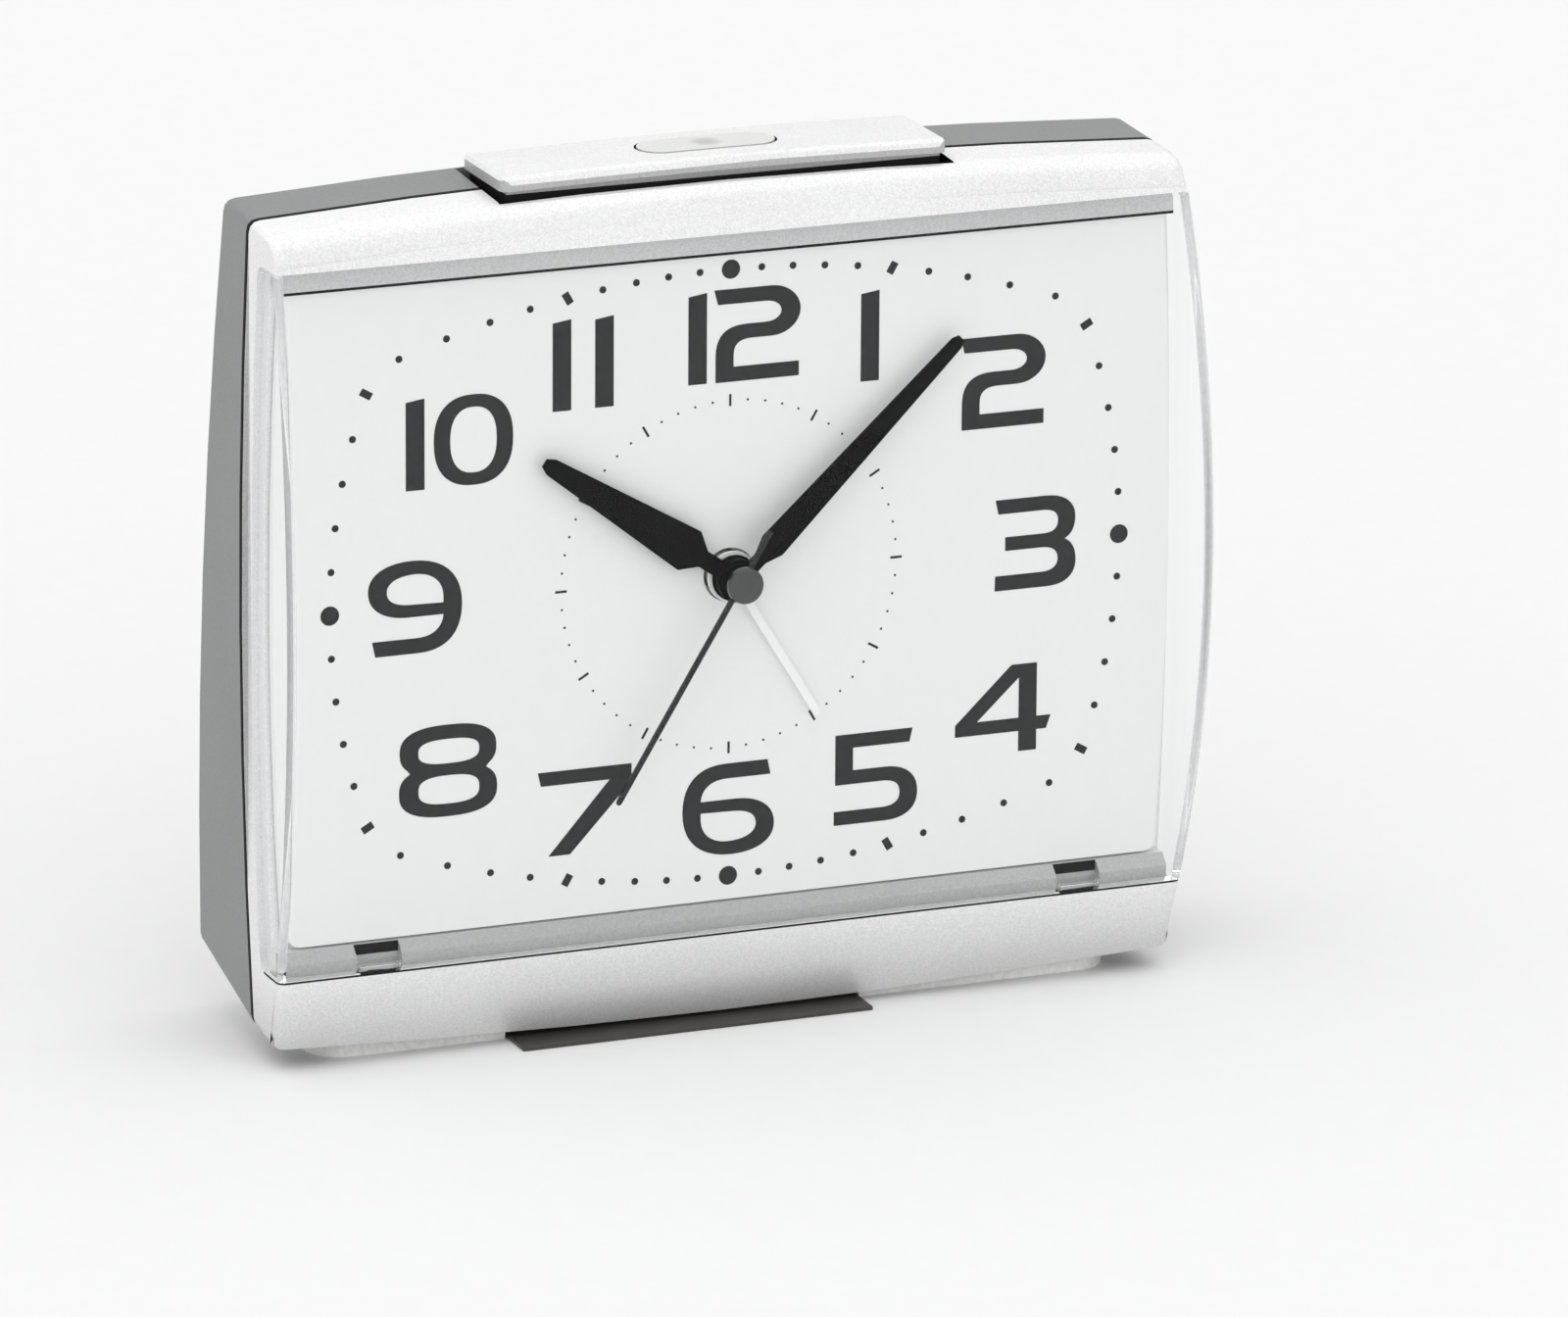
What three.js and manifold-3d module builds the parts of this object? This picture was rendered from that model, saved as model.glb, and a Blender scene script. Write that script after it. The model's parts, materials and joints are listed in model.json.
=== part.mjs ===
// Quartz alarm clock, built as the assembly of its separate pieces.
// Millimetres. X points right seen from the front, Y from front to back, Z up.
// Depths are counted from the front face of the dial and heights from the table top.
// At the end the group moves in depth, so that its origin lies below the middle of the clock.

import * as THREE from 'three';
import { mergeVertices } from 'three/addons/utils/BufferGeometryUtils.js';
import Module from 'manifold-3d';

const wasm = await Module();
wasm.setup();

// Clearances
const seatGap = 0.3; // between pieces that rest on or in each other
const runGap = 0.3; // around turning arbors and sliding pieces
const handFit = 0.15; // around a tube that carries a hand or a knob
const reach = 30; // how far a cutting solid runs past the piece that it cuts

// Case outline, shared by bezel, lens and rear case
const caseHalf = 59.3; // half the width at the corners
const caseLow = 3.6; // height of the lower corners at the parting plane
const caseHeight = 101.4; // between the lower and upper corners
const sideBow = 1.25;
const topBow = 1.9;
const bottomBow = 1.9;
const cornerRadius = 1.4;
const caseWall = 2;
const partingDepth = 6.8; // bezel and rear case meet here
const partingGap = 0.35;
const caseTop = caseLow + caseHeight;

// Rounded front of the case
const noseDepth = -10; // foremost line of the lens
const noseHeight = 56.05;
const noseRadius = 146;
const topRound = 3.6; // rounding between the top and the front of the bezel
const topRoundStart = 1.4; // depth where that rounding begins
const bottomRound = 1.6;
const bottomRoundStart = 0.4;
const topFall = 0.05; // slope of the top face towards the front
const bottomFall = 0.13; // slope of the underside towards the front

// Lens cover
const lensWall = 1.2;
const topBar = 4.65; // height of the bezel above the lens
const bottomBar = 8.75; // height of the bezel below the lens
const lensBack = 3.1; // depth of the rear edge of its side walls
const lensRound = 1.8;
const lensTabAt = 46.2; // two tabs hold the lower edge
const lensTabWidth = 5.2;
const lensTabThick = 0.8;
const lensTabLift = 0.3; // above the lower edge of the lens
const lensTabPocket = 2.8; // open length of the pocket in front of the dial
const lensLow = caseLow + bottomBar;
const lensHigh = caseTop - topBar;
const tabLow = lensLow + lensTabLift;
const tabHigh = tabLow + lensTabThick;

// Dial and the bezel wall that carries it
const dialThick = 1.2;
const dialSideGap = 2.1; // from the case corner to the dial corner
const dialTopGap = 2.8; // from the top of the lens to the edge of the brow over the dial
const dialBottomGap = 3.3;
const dialHole = 3.4;
const browThick = 0.8;
const browCover = 1; // the dial runs up behind the brow
const shelfWall = 1.8;
const shelfRim = -noseFace(lensLow, lensWall + seatGap); // edge of the shelf, just behind the lens
const shelfStep = 2; // height of that edge above the bezel bar
const carrierWall = 2.4;
const bandDepth = 1.6; // side bands behind the lens
const carrierHole = 6;
const axisLift = 0.7; // hands' axis above the middle of the lens
const dialLow = lensLow + dialBottomGap;
const browLow = lensHigh - dialTopGap;
const dialHigh = browLow + browCover;
const axisHeight = (lensLow + lensHigh) / 2 + axisLift;
const carrierFront = dialThick + seatGap;
const carrierBack = carrierFront + carrierWall;

// Rear case
const rearTopDepth = 10.8; // from the parting plane to the back at the top
const rearLean = 0.111; // growth in depth for each millimetre down the back
const rearRise = 4.95; // the underside climbs this much towards the back
const sideDraft = 0.25;
const topRise = 0.5; // the top climbs this much towards the back
const backRound = 1.1;
const lipWall = 1.2;
const lipLength = 1.5;

// Base foot and the thin plate under it
const footHalf = 53;
const footFront = 2.2;
const footBack = 24;
const footRound = 5;
const plateLeft = -28;
const plateRight = 18.2;
const plateFront = -3.3;
const plateBack = 16;
const plateThick = 0.5;
const plateSeat = 8; // depth where the foot begins to cover the plate

// Screws that hold the case together
const screwInset = 8.8; // from the case corner
const screwTopDrop = 9.7;
const screwBottomRise = 19.6;
const screwShank = 1.3;
const screwHead = 2.6;
const screwHeadHeight = 1.8;
const screwSink = 3; // head seat below the back face
const screwBite = 4; // length inside the bezel boss
const bossRadius = 3.4;
const bossEnd = 8.9;

// Snooze bar with its window, springs and switch
const barHalf = 29;
const barFront = 1.3;
const barBack = 15.4;
const barRise = 2.4; // above the top of the case
const barRound = 0.9;
const barChamfer = 0.4; // at both ends
const barCorner = 1.3; // upright corners, seen from above
const barLift = 0.7; // lower edge of its cap above the top of the case
const barStep = 0.8; // the skirt stands back from the edge of the cap
const barSkirt = 3.2; // skirt below the top of the case
const barWall = 1.4;
const barTravel = 1.2;
const barGap = 0.6; // between the bar and the edges of its opening
const barLip = 1.4; // lugs at both ends keep the bar in the case
const windowLength = 17.7;
const windowWidth = 6;
const windowProud = 0.15;
const windowFlange = 0.5;
const windowFlangeThick = 0.9;
const springAt = 20;
const springRadius = 2;
const springWire = 0.5;
const springTurns = 6;
const springPeg = 1.2;
const springPegLength = 2;
const shelfDrop = 7.4; // top of the inner shelf below the case top
const shelfThick = 1.4;
const shelfHalf = 27;
const boardThick = 1;
const snoozeBoardHalf = 16.5;
const snoozeBoardDepth = 5;
const switchAt = -13;
const switchSize = 5;
const switchBody = 2.2;
const switchButton = 1.2;
const switchButtonHeight = 1;
const lampRadius = 1.9;
const lampHeight = 4.6;
const lampRim = 0.4;

// Movement housing
const movementHalf = 25.5;
const movementRound = 3;
const housingWall = 1.4;
const coverThick = 1.6;
const bushRadius = 5.4;
const earWidth = 6.4;
const earHeight = 7;
const earThick = 1.6;
const earAt = 16; // above and below the hands' axis
const earBoss = 2.8;
const earBossLength = 3;
const earScrewShank = 1;
const earScrewHead = 2;
const earScrewHeadHeight = 1.4;
const earScrewLength = 6;

// Wheels lie in planes one behind the other
const wheelThick = 0.8;
const planeGap = 0.4;
const addendum = 0.75; // in modules
const dedendum = 0.95;
const toothTip = 0.1; // half the width of a tooth, as a share of the pitch
const toothRoot = 0.24;
const arborRadius = 0.5;
const setArborRadius = 0.8;
const pivotDepth = 0.8;
const tubeWall = 0.4;
const motionDistance = 12;
const motionAngle = 200;
const alarmDistance = 14;
const alarmAngle = 343;
const thirdDistance = 10.8;
const thirdAngle = 90;
const stepDistance = 11;
const stepAngle = 270;
const rotorDistance = 8.4;
const rotorAngle = 210;
const teeth = {
  rotorPinion: 6,
  step: 36,
  stepPinion: 6,
  second: 30,
  secondPinion: 6,
  third: 48,
  thirdPinion: 6,
  centre: 45,
  minutePinion: 8,
  motion: 24,
  motionPinion: 8,
  hour: 32,
  alarm: 32,
  alarmPinion: 10,
};

// Stepping motor, circuit board and posts in the movement
const magnetRadius = 2.2;
const magnetLength = 2;
const statorThick = 1;
const statorEye = 3.7;
const statorBarTop = 13; // below the hands' axis
const statorBarHeight = 4;
const statorLeft = -17;
const statorRight = 10;
const statorLeg = 4;
const coreHeight = 1.6;
const coreThick = 1;
const coreDrop = 21.6; // below the hands' axis
const coilRadius = 2.2;
const coilFlange = 0.8;
const coilWaist = 0.4; // winding below the flanges
const coilHole = 1.3;
const coilEndGap = 1;
const postRadius = 1.4;
const plateEdge = { left: -20, right: 15.2, top: 22, bottom: 17.5 }; // middle plate around the axis
const platePosts = { left: -18.5, right: 13, top: 20, bottom: 15.8 };
const boardLeft = 15.8;
const boardRight = 23.6;
const boardReach = 21; // above and below the hands' axis
const boardPostAt = 18;
const chipSize = 5;
const chipHeight = 1.2;
const chipAt = 3;
const crystalRadius = 1;
const crystalLength = 6;
const crystalAt = -8;

// Knobs, alarm switch and buzzer on the back
const knobRadius = 7;
const knobThick = 3.4;
const knobGap = 0.4;
const knobStem = 2.4;
const knobBore = 2.2; // depth of the arbor's end inside the knob
const knobRidges = 20;
const knobRidgeDepth = 0.5;
const slideAt = 12.5; // above the hands' axis
const slideStem = 2.6;
const slideStemHeight = 3;
const slideTravel = 5;
const slideBase = 1.5;
const slideGrip = 5;
const slideGripThick = 1.6;
const slideRib = 0.5; // rib on the grip, and edge of the base beyond the stem
const buzzerInset = 19.3; // from the case corner
const buzzerAt = buzzerInset - caseHalf;
const buzzerDrop = 21.2; // below the top of the case
const buzzerRadius = 11;
const buzzerThick = 4.5;
const buzzerCollar = 1.2;
const buzzerCollarLength = 3;
const soundSlots = 5;
const soundSlotLength = 14;
const soundSlotWidth = 1.4;
const soundSlotPitch = 3;

// Battery bay: one AA cell lying across
const cellRadius = 7.25;
const cellLength = 50.5;
const cellNubRadius = 2.7;
const cellNubLength = 1.5;
const cellEdge = 0.6;
const cellLift = 14.6; // axis of the cell above the lower case corners
const bayWall = 1.4;
const bayPlay = 0.45;
const doorThick = 2;
const doorLug = 4;
const doorLugAt = 18;
const doorLugLength = 1.4;
const doorNotchRadius = 2;
const doorNotchHalf = 6;
const contactThick = 0.4;
const contactWidth = 9;
const contactSpringWire = 0.7;
const contactSpringTurns = 3;
const contactSpringWide = 4.5;
const contactSpringNarrow = 2.6;
const contactSpringLength = 4.9; // pressed by the cell
const bayHalf = (cellLength + contactSpringLength + contactThick + 4 * seatGap) / 2;

// Hands: depth of each rear face, and clockwise angles at the time shown
const handThick = 0.4;
const alarmHand = { depth: -0.7, length: 21.8, angle: 148.5, hub: 3.2, half: 0.5 };
const hourHand = {
  depth: -1.5,
  length: 30,
  angle: 304.3,
  hub: 2.9,
  neck: 1.1,
  shoulderAt: 7.2,
  half: 2.75,
  tip: 1.1,
};
const minuteHand = {
  depth: -3,
  length: 40.4,
  angle: 46.9,
  hub: 2.7,
  neck: 0.9,
  shoulderAt: 6,
  half: 1.8,
  tip: 0.85,
  bend: 1.05, // its end bends this much towards the dial, clear of the lens
};
const secondHand = { depth: -3.9, length: 31, angle: 211.4, hub: 1.6, half: 0.35, tail: 7.3 };
const shoulderRun = 2.2; // length of the slope from neck to shoulder
const capRadius = 2.3;
const capHeight = 1.3;

// Helpers

// Closed solid that can be joined and cut
function solid(geometry) {
  geometry.deleteAttribute('normal');
  geometry.deleteAttribute('uv');
  const merged = mergeVertices(geometry);
  const triVerts = [];
  for (let i = 0; i < merged.index.count; i += 3) {
    const [a, b, c] = [0, 1, 2].map((k) => merged.index.getX(i + k));
    if (a !== b && b !== c && c !== a) triVerts.push(a, b, c);
  }
  return new wasm.Manifold(new wasm.Mesh({
    numProp: 3,
    vertProperties: new Float32Array(merged.attributes.position.array),
    triVerts: new Uint32Array(triVerts),
  }));
}

function geometryOf(body) {
  const mesh = body.getMesh();
  const geometry = new THREE.BufferGeometry();
  geometry.setAttribute('position', new THREE.BufferAttribute(mesh.vertProperties, 3));
  geometry.setIndex(new THREE.BufferAttribute(mesh.triVerts, 1));
  return geometry;
}

function union(bodies) {
  return bodies.reduce((all, body) => all.add(body));
}

function box(x0, x1, y0, y1, z0, z1) {
  const geometry = new THREE.BoxGeometry(x1 - x0, y1 - y0, z1 - z0);
  return solid(geometry.translate((x0 + x1) / 2, (y0 + y1) / 2, (z0 + z1) / 2));
}

function extrude(shape, depth, curveSegments) {
  return new THREE.ExtrudeGeometry(shape, { depth, curveSegments, bevelEnabled: false });
}

// Front-view shape (x, z) made solid between two depths
function prismY(shape, y0, y1, curveSegments = 12) {
  return solid(extrude(shape, y1 - y0, curveSegments).rotateX(Math.PI / 2).translate(0, y1, 0));
}

// Side-view shape (y, z) made solid between two widths
function prismX(shape, x0, x1, curveSegments = 12) {
  const turn = new THREE.Matrix4().makeBasis(
    new THREE.Vector3(0, 1, 0),
    new THREE.Vector3(0, 0, 1),
    new THREE.Vector3(1, 0, 0),
  );
  return solid(extrude(shape, x1 - x0, curveSegments).applyMatrix4(turn).translate(x0, 0, 0));
}

// Plan shape (x, y) made solid between two heights
function prismZ(shape, z0, z1, curveSegments = 12) {
  return solid(extrude(shape, z1 - z0, curveSegments).translate(0, 0, z0));
}

function polygon(points) {
  return new THREE.Shape(points.map(([a, b]) => new THREE.Vector2(a, b)));
}

function disc(at, radius) {
  const shape = new THREE.Shape();
  shape.absarc(at.x, at.z, radius, 0, 2 * Math.PI);
  return shape;
}

function roundedRect(x0, x1, z0, z1, radius) {
  const shape = new THREE.Shape();
  shape.absarc(x1 - radius, z1 - radius, radius, 0, Math.PI / 2);
  shape.absarc(x0 + radius, z1 - radius, radius, Math.PI / 2, Math.PI);
  shape.absarc(x0 + radius, z0 + radius, radius, Math.PI, 1.5 * Math.PI);
  shape.absarc(x1 - radius, z0 + radius, radius, 1.5 * Math.PI, 2 * Math.PI);
  shape.closePath();
  return shape;
}

function rodY(at, radius, y0, y1, sides = 16) {
  const geometry = new THREE.CylinderGeometry(radius, radius, y1 - y0, sides);
  return solid(geometry.translate(at.x, (y0 + y1) / 2, at.z));
}

function tubeY(at, inner, outer, y0, y1, sides = 16) {
  return rodY(at, outer, y0, y1, sides).subtract(rodY(at, inner, y0 - 1, y1 + 1, sides));
}

// Solid between outlines of equal point count, listed from front to back
function loft(sections) {
  const count = sections[0].length;
  const points = sections.flat();
  const index = [];
  for (let s = 0; s + 1 < sections.length; s++) {
    for (let i = 0; i < count; i++) {
      const a = s * count + i;
      const b = s * count + (i + 1) % count;
      index.push(a, b + count, b, a, a + count, b + count);
    }
  }
  const flat = sections[0].map((p) => new THREE.Vector2(p.x, p.z));
  const last = (sections.length - 1) * count;
  for (const [a, b, c] of THREE.ShapeUtils.triangulateShape(flat, [])) {
    index.push(a, b, c, last + a, last + c, last + b);
  }
  const geometry = new THREE.BufferGeometry().setFromPoints(points);
  geometry.setIndex(index);
  return solid(geometry);
}

// Front-view outline with bowed sides and rounded corners, from the lower right corner round
function bowedOutline({ half, low, high, bows = [sideBow, topBow, sideBow, bottomBow] }) {
  const sideSteps = 6;
  const cornerSteps = 3;
  const corners = [[half, low], [half, high], [-half, high], [-half, low]];
  const points = corners.map(([x, z]) => new THREE.Vector2(x, z));
  const outward = [[1, 0], [0, 1], [-1, 0], [0, -1]];
  const sides = points.map((start, i) => {
    const end = points[(i + 1) % 4];
    const pull = new THREE.Vector2(...outward[i]).multiplyScalar(2 * bows[i]);
    const control = start.clone().add(end).multiplyScalar(0.5).add(pull);
    const curve = new THREE.QuadraticBezierCurve(start, control, end);
    return { curve, cut: cornerRadius / start.distanceTo(end) };
  });
  return sides.flatMap(({ curve, cut }, i) => {
    const next = sides[(i + 1) % 4];
    const corner = new THREE.QuadraticBezierCurve(
      curve.getPoint(1 - cut),
      points[(i + 1) % 4],
      next.curve.getPoint(next.cut),
    );
    const along = Array.from({ length: sideSteps }, (_, s) => {
      return curve.getPoint(cut + (1 - 2 * cut) * s / sideSteps);
    });
    const around = Array.from({ length: cornerSteps }, (_, s) => corner.getPoint(s / cornerSteps));
    return [...along, ...around];
  });
}

// Outline placed at a depth, which may change with the height
function section(outline, depthAt) {
  return outline.map((p) => new THREE.Vector3(p.x, depthAt(p.y), p.y));
}

function polar(from, distance, degrees) {
  const angle = THREE.MathUtils.degToRad(degrees);
  return { x: from.x + distance * Math.cos(angle), z: from.z + distance * Math.sin(angle) };
}

// Wire spring along +Z, whose radius may change from start to end
class Helix extends THREE.Curve {
  constructor(startRadius, endRadius, length, turns) {
    super();
    Object.assign(this, { startRadius, endRadius, length, turns });
  }

  getPoint(t) {
    const radius = THREE.MathUtils.lerp(this.startRadius, this.endRadius, t);
    const angle = 2 * Math.PI * this.turns * t;
    return new THREE.Vector3(radius * Math.cos(angle), radius * Math.sin(angle), this.length * t);
  }
}

function springGeometry(name, startRadius, endRadius, length, turns, wire) {
  const stepsPerTurn = 8;
  const sides = 5;
  const path = new Helix(startRadius, endRadius, length - wire, turns);
  const round = Array.from({ length: sides }, (_, i) => {
    const angle = 2 * Math.PI * i / sides;
    return new THREE.Vector2(Math.cos(angle) * wire / 2, Math.sin(angle) * wire / 2);
  });
  const geometry = new THREE.ExtrudeGeometry(new THREE.Shape(round), {
    steps: turns * stepsPerTurn,
    extrudePath: path,
    bevelEnabled: false,
  });
  const points = path.getPoints(turns * stepsPerTurn);
  let least = Infinity;
  points.forEach((p, i) => {
    for (const q of points.slice(i + stepsPerTurn - 2)) {
      least = Math.min(least, p.distanceTo(q) - wire);
    }
  });
  console.log(`${name}: least gap between turns ${least.toFixed(2)} mm`);
  return geometry.translate(0, 0, wire / 2);
}

// Assembly
const clock = new THREE.Group();
const axis = { x: 0, z: axisHeight };

function finish(color, roughness, metalness) {
  return new THREE.MeshStandardMaterial({ color, roughness, metalness });
}

const silver = finish(0xd6d7d9, 0.38, 0.35);
const grey = finish(0x8b8c8e, 0.5, 0);
const clear = finish(0xeef2f4, 0.06, 0);
const white = finish(0xf0f0ee, 0.55, 0);
const black = finish(0x1d1d1f, 0.45, 0);
const steel = finish(0xb8babd, 0.3, 1);
const brass = finish(0xc9a75a, 0.35, 1);
const copper = finish(0xb06a3c, 0.4, 1);
const smoke = finish(0x6c6963, 0.55, 0);
const resin = finish(0xe4e0d2, 0.5, 0);
const board = finish(0x2f6b46, 0.55, 0);
const wrapper = finish(0x3f4a57, 0.35, 0.2);

function piece(name, body, material) {
  const mesh = new THREE.Mesh(geometryOf(body), material);
  mesh.name = name;
  clock.add(mesh);
  return mesh;
}

// Front of the case: one outline, rounded over towards the front

function roundOver(distance, radius) {
  const run = Math.min(Math.max(distance, 0), radius);
  return radius - Math.sqrt(radius * radius - run * run);
}

function frontBody(inset, back = partingDepth) {
  const roundSteps = 4;
  const depths = [back, topRoundStart];
  for (let i = 1; i <= roundSteps; i++) {
    depths.push(topRoundStart - topRound * Math.sin(Math.PI / 2 * i / roundSteps));
  }
  depths.push(noseDepth - 1);
  return loft(depths.reverse().map((y) => {
    const forward = partingDepth - y;
    const high = caseTop - topFall * Math.min(forward, partingDepth - topRoundStart)
      - roundOver(topRoundStart - y, topRound);
    const low = caseLow - bottomFall * Math.min(forward, partingDepth - bottomRoundStart)
      + roundOver(bottomRoundStart - y, bottomRound);
    return section(bowedOutline({ half: caseHalf - inset, low: low + inset, high: high - inset }), () => y);
  }));
}

// Depth of the rounded front at a height
function noseFace(height, inset) {
  return noseDepth + noseRadius - Math.sqrt((noseRadius - inset) ** 2 - (height - noseHeight) ** 2);
}

function nose(inset) {
  const centre = noseDepth + noseRadius;
  const spread = Math.asin(0.6);
  const shape = new THREE.Shape();
  shape.absarc(centre, noseHeight, noseRadius - inset, Math.PI - spread, Math.PI + spread);
  shape.closePath();
  return prismX(shape, -caseHalf - reach, caseHalf + reach, 24);
}

function lensZone(grow) {
  const back = lensBack + grow;
  const low = lensLow - grow;
  const high = lensHigh + grow;
  const shape = new THREE.Shape();
  shape.moveTo(noseDepth - reach, low);
  shape.lineTo(back - lensRound, low);
  shape.quadraticCurveTo(back, low, back, low + lensRound);
  shape.lineTo(back, high - lensRound);
  shape.quadraticCurveTo(back, high, back - lensRound, high);
  shape.lineTo(noseDepth - reach, high);
  return prismX(shape, -caseHalf - reach, caseHalf + reach, 4);
}

const front = frontBody(0).intersect(nose(0));
const tabCentres = [-lensTabAt, lensTabAt];

function lensCover() {
  const hollow = frontBody(lensWall).intersect(nose(lensWall));
  const shell = front.intersect(lensZone(0)).subtract(hollow);
  const tabs = tabCentres.map((x) => box(
    x - lensTabWidth / 2, x + lensTabWidth / 2,
    -shelfRim - lensWall, -seatGap * 2,
    tabLow, tabHigh,
  ).intersect(nose(lensWall / 2)));
  return union([shell, ...tabs]);
}

// Rear case: outline at the parting plane drawn back to a leaning rear face

function backDepth(height) {
  return partingDepth + rearTopDepth + (caseTop - height) * rearLean;
}

function rearBody(inset, frontExtra = 0) {
  const outer = { half: caseHalf - inset, low: caseLow + inset, high: caseTop - inset };
  const rear = { half: outer.half - sideDraft, low: outer.low + rearRise, high: outer.high + topRise };
  const edge = { half: rear.half - backRound, low: rear.low + backRound, high: rear.high - backRound };
  return loft([
    section(bowedOutline(outer), () => partingDepth + partingGap - frontExtra),
    section(bowedOutline(rear), (z) => backDepth(z) - backRound - inset),
    section(bowedOutline(edge), (z) => backDepth(z) - inset),
  ]);
}

// Places worked out from the sizes above
const bayLow = caseLow + cellLift - cellRadius - bayPlay;
const bayHigh = bayLow + 2 * (cellRadius + bayPlay);
const cellHeight = caseLow + cellLift;
const cellDepth = backDepth(bayHigh) - doorThick - bayPlay - cellRadius;
const cellEnd = bayHalf - contactThick - 2 * seatGap;
const bayFront = cellDepth - cellRadius - bayPlay;
const lugPlaces = [-doorLugAt, doorLugAt];
const springPlaces = [-springAt, springAt];
const barMiddle = (barFront + barBack) / 2;
const shelfTop = caseTop - shelfDrop;
const snoozeBoardTop = shelfTop + seatGap + boardThick;
const switchTop = snoozeBoardTop + seatGap + switchBody + switchButtonHeight;
const movementFront = carrierBack + seatGap;
const trainStart = movementFront + housingWall;
const coverFront = plane(8);
const coverBack = coverFront + coverThick;
const earFront = carrierBack + earBossLength + seatGap;
const earScrewEnd = earFront + earThick - earScrewLength;
const boardFront = plane(3);
const boardBack = boardFront + boardThick;
const slideX = (boardLeft + boardRight) / 2;
const slideHeight = axisHeight + slideAt;
const buzzerHeight = caseTop - buzzerDrop;
const motionAt = polar(axis, motionDistance, motionAngle);
const alarmAt = polar(axis, alarmDistance, alarmAngle);
const thirdAt = polar(axis, thirdDistance, thirdAngle);
const stepAt = polar(axis, stepDistance, stepAngle);
const rotorAt = polar(stepAt, rotorDistance, rotorAngle);
const platePostPlaces = [platePosts.left, platePosts.right].flatMap((x) => [
  { x, z: axis.z + platePosts.top },
  { x, z: axis.z - platePosts.bottom },
]);
const boardPostPlaces = [-boardPostAt, boardPostAt].map((offset) => ({ x: slideX, z: axis.z + offset }));
const capBack = secondHand.depth - handThick - seatGap;
const tubes = {};
['minute', 'hour', 'alarm'].reduce((within, name) => {
  const inner = within + runGap;
  tubes[name] = { inner, outer: inner + tubeWall };
  return inner + tubeWall;
}, arborRadius);

// Front of a plane of wheels, counted from the dial side
function plane(k) {
  return trainStart + planeGap + k * (wheelThick + planeGap);
}

function knobFront(at) {
  return backDepth(at.z - knobRadius) + knobGap;
}

function screwSeat(at) {
  return backDepth(at.z) - screwSink;
}

const screwX = caseHalf - screwInset;
const screwPlaces = [
  { x: -screwX, z: caseTop - screwTopDrop },
  { x: screwX, z: caseTop - screwTopDrop },
  { x: -screwX, z: caseLow + screwBottomRise },
  { x: screwX, z: caseLow + screwBottomRise },
];
const earPlaces = [-1, 1].flatMap((side) => [-1, 1].map((level) => ({
  x: side * (movementHalf + earWidth / 2),
  z: axisHeight + level * earAt,
})));

function archTop(x) {
  return caseTop + topBow * (1 - (x / caseHalf) ** 2);
}

const barLow = archTop(barHalf) - barSkirt;
const barOpening = box(
  -barHalf - barGap, barHalf + barGap,
  barFront - barGap, barBack + barGap,
  barLow - barTravel - seatGap, caseTop + reach,
);

function frontBezel() {
  const shell = front.subtract(frontBody(caseWall, partingDepth + 1).intersect(nose(caseWall)));
  const inside = frontBody(lensWall + seatGap);
  const rim = lensLow - seatGap;
  const roofLow = lensHigh + seatGap;
  const dialEdge = dialLow - seatGap;
  const roof = box(-caseHalf - reach, caseHalf + reach, noseDepth, carrierBack, roofLow, roofLow + shelfWall);
  const shelf = prismX(polygon([
    [noseDepth, rim - shelfWall],
    [carrierBack, rim - shelfWall],
    [carrierBack, dialEdge],
    [-seatGap, dialEdge],
    [-shelfRim, rim + shelfStep],
    [-shelfRim, rim],
    [noseDepth, rim],
  ]), -caseHalf - reach, caseHalf + reach);
  const brow = box(
    -caseHalf - reach, caseHalf + reach,
    -seatGap - browThick, -seatGap,
    browLow, roofLow + shelfWall,
  );
  const shelves = union([roof, shelf, brow]).intersect(front).intersect(inside);
  const carrier = box(-caseHalf, caseHalf, carrierFront, carrierBack, rim, roofLow + shelfWall)
    .intersect(inside);
  const bandFront = lensBack + seatGap;
  const band = front.subtract(frontBody(caseWall * 2, partingDepth + 1))
    .intersect(box(-caseHalf - reach, caseHalf + reach, bandFront, bandFront + bandDepth, lensLow, lensHigh));
  const bosses = screwPlaces.map((at) => rodY(at, bossRadius, carrierFront, bossEnd));
  const earBosses = earPlaces.map((at) => rodY(at, earBoss, carrierFront, earFront - seatGap));
  const cuts = [
    barOpening,
    rodY(axis, carrierHole, carrierFront - 1, carrierBack + 1, 24),
    ...screwPlaces.map((at) => rodY(at, screwShank + seatGap, bossEnd - screwBite - seatGap, bossEnd + 1)),
    ...earPlaces.map((at) => rodY(at, earScrewShank + seatGap, earScrewEnd - seatGap, earFront)),
    ...tabCentres.flatMap((x) => {
      const sides = [x - lensTabWidth / 2 - seatGap, x + lensTabWidth / 2 + seatGap];
      const floor = tabLow - seatGap;
      return [
        box(...sides, -shelfRim - 1, -seatGap, floor, tabHigh + seatGap),
        box(...sides, -seatGap - lensTabPocket, -seatGap, floor, dialLow + 1),
      ];
    }),
  ];
  const parts = [shell.subtract(lensZone(seatGap)), shelves, carrier, band, ...bosses, ...earBosses];
  return union(parts).subtract(union(cuts));
}

function dialPlate() {
  const outline = bowedOutline({
    half: caseHalf - dialSideGap,
    low: dialLow,
    high: dialHigh,
    bows: [sideBow, 0, sideBow, 0],
  });
  const plate = loft([section(outline, () => 0), section(outline, () => dialThick)]);
  return plate.subtract(rodY(axis, dialHole, -1, dialThick + 1, 24));
}

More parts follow.
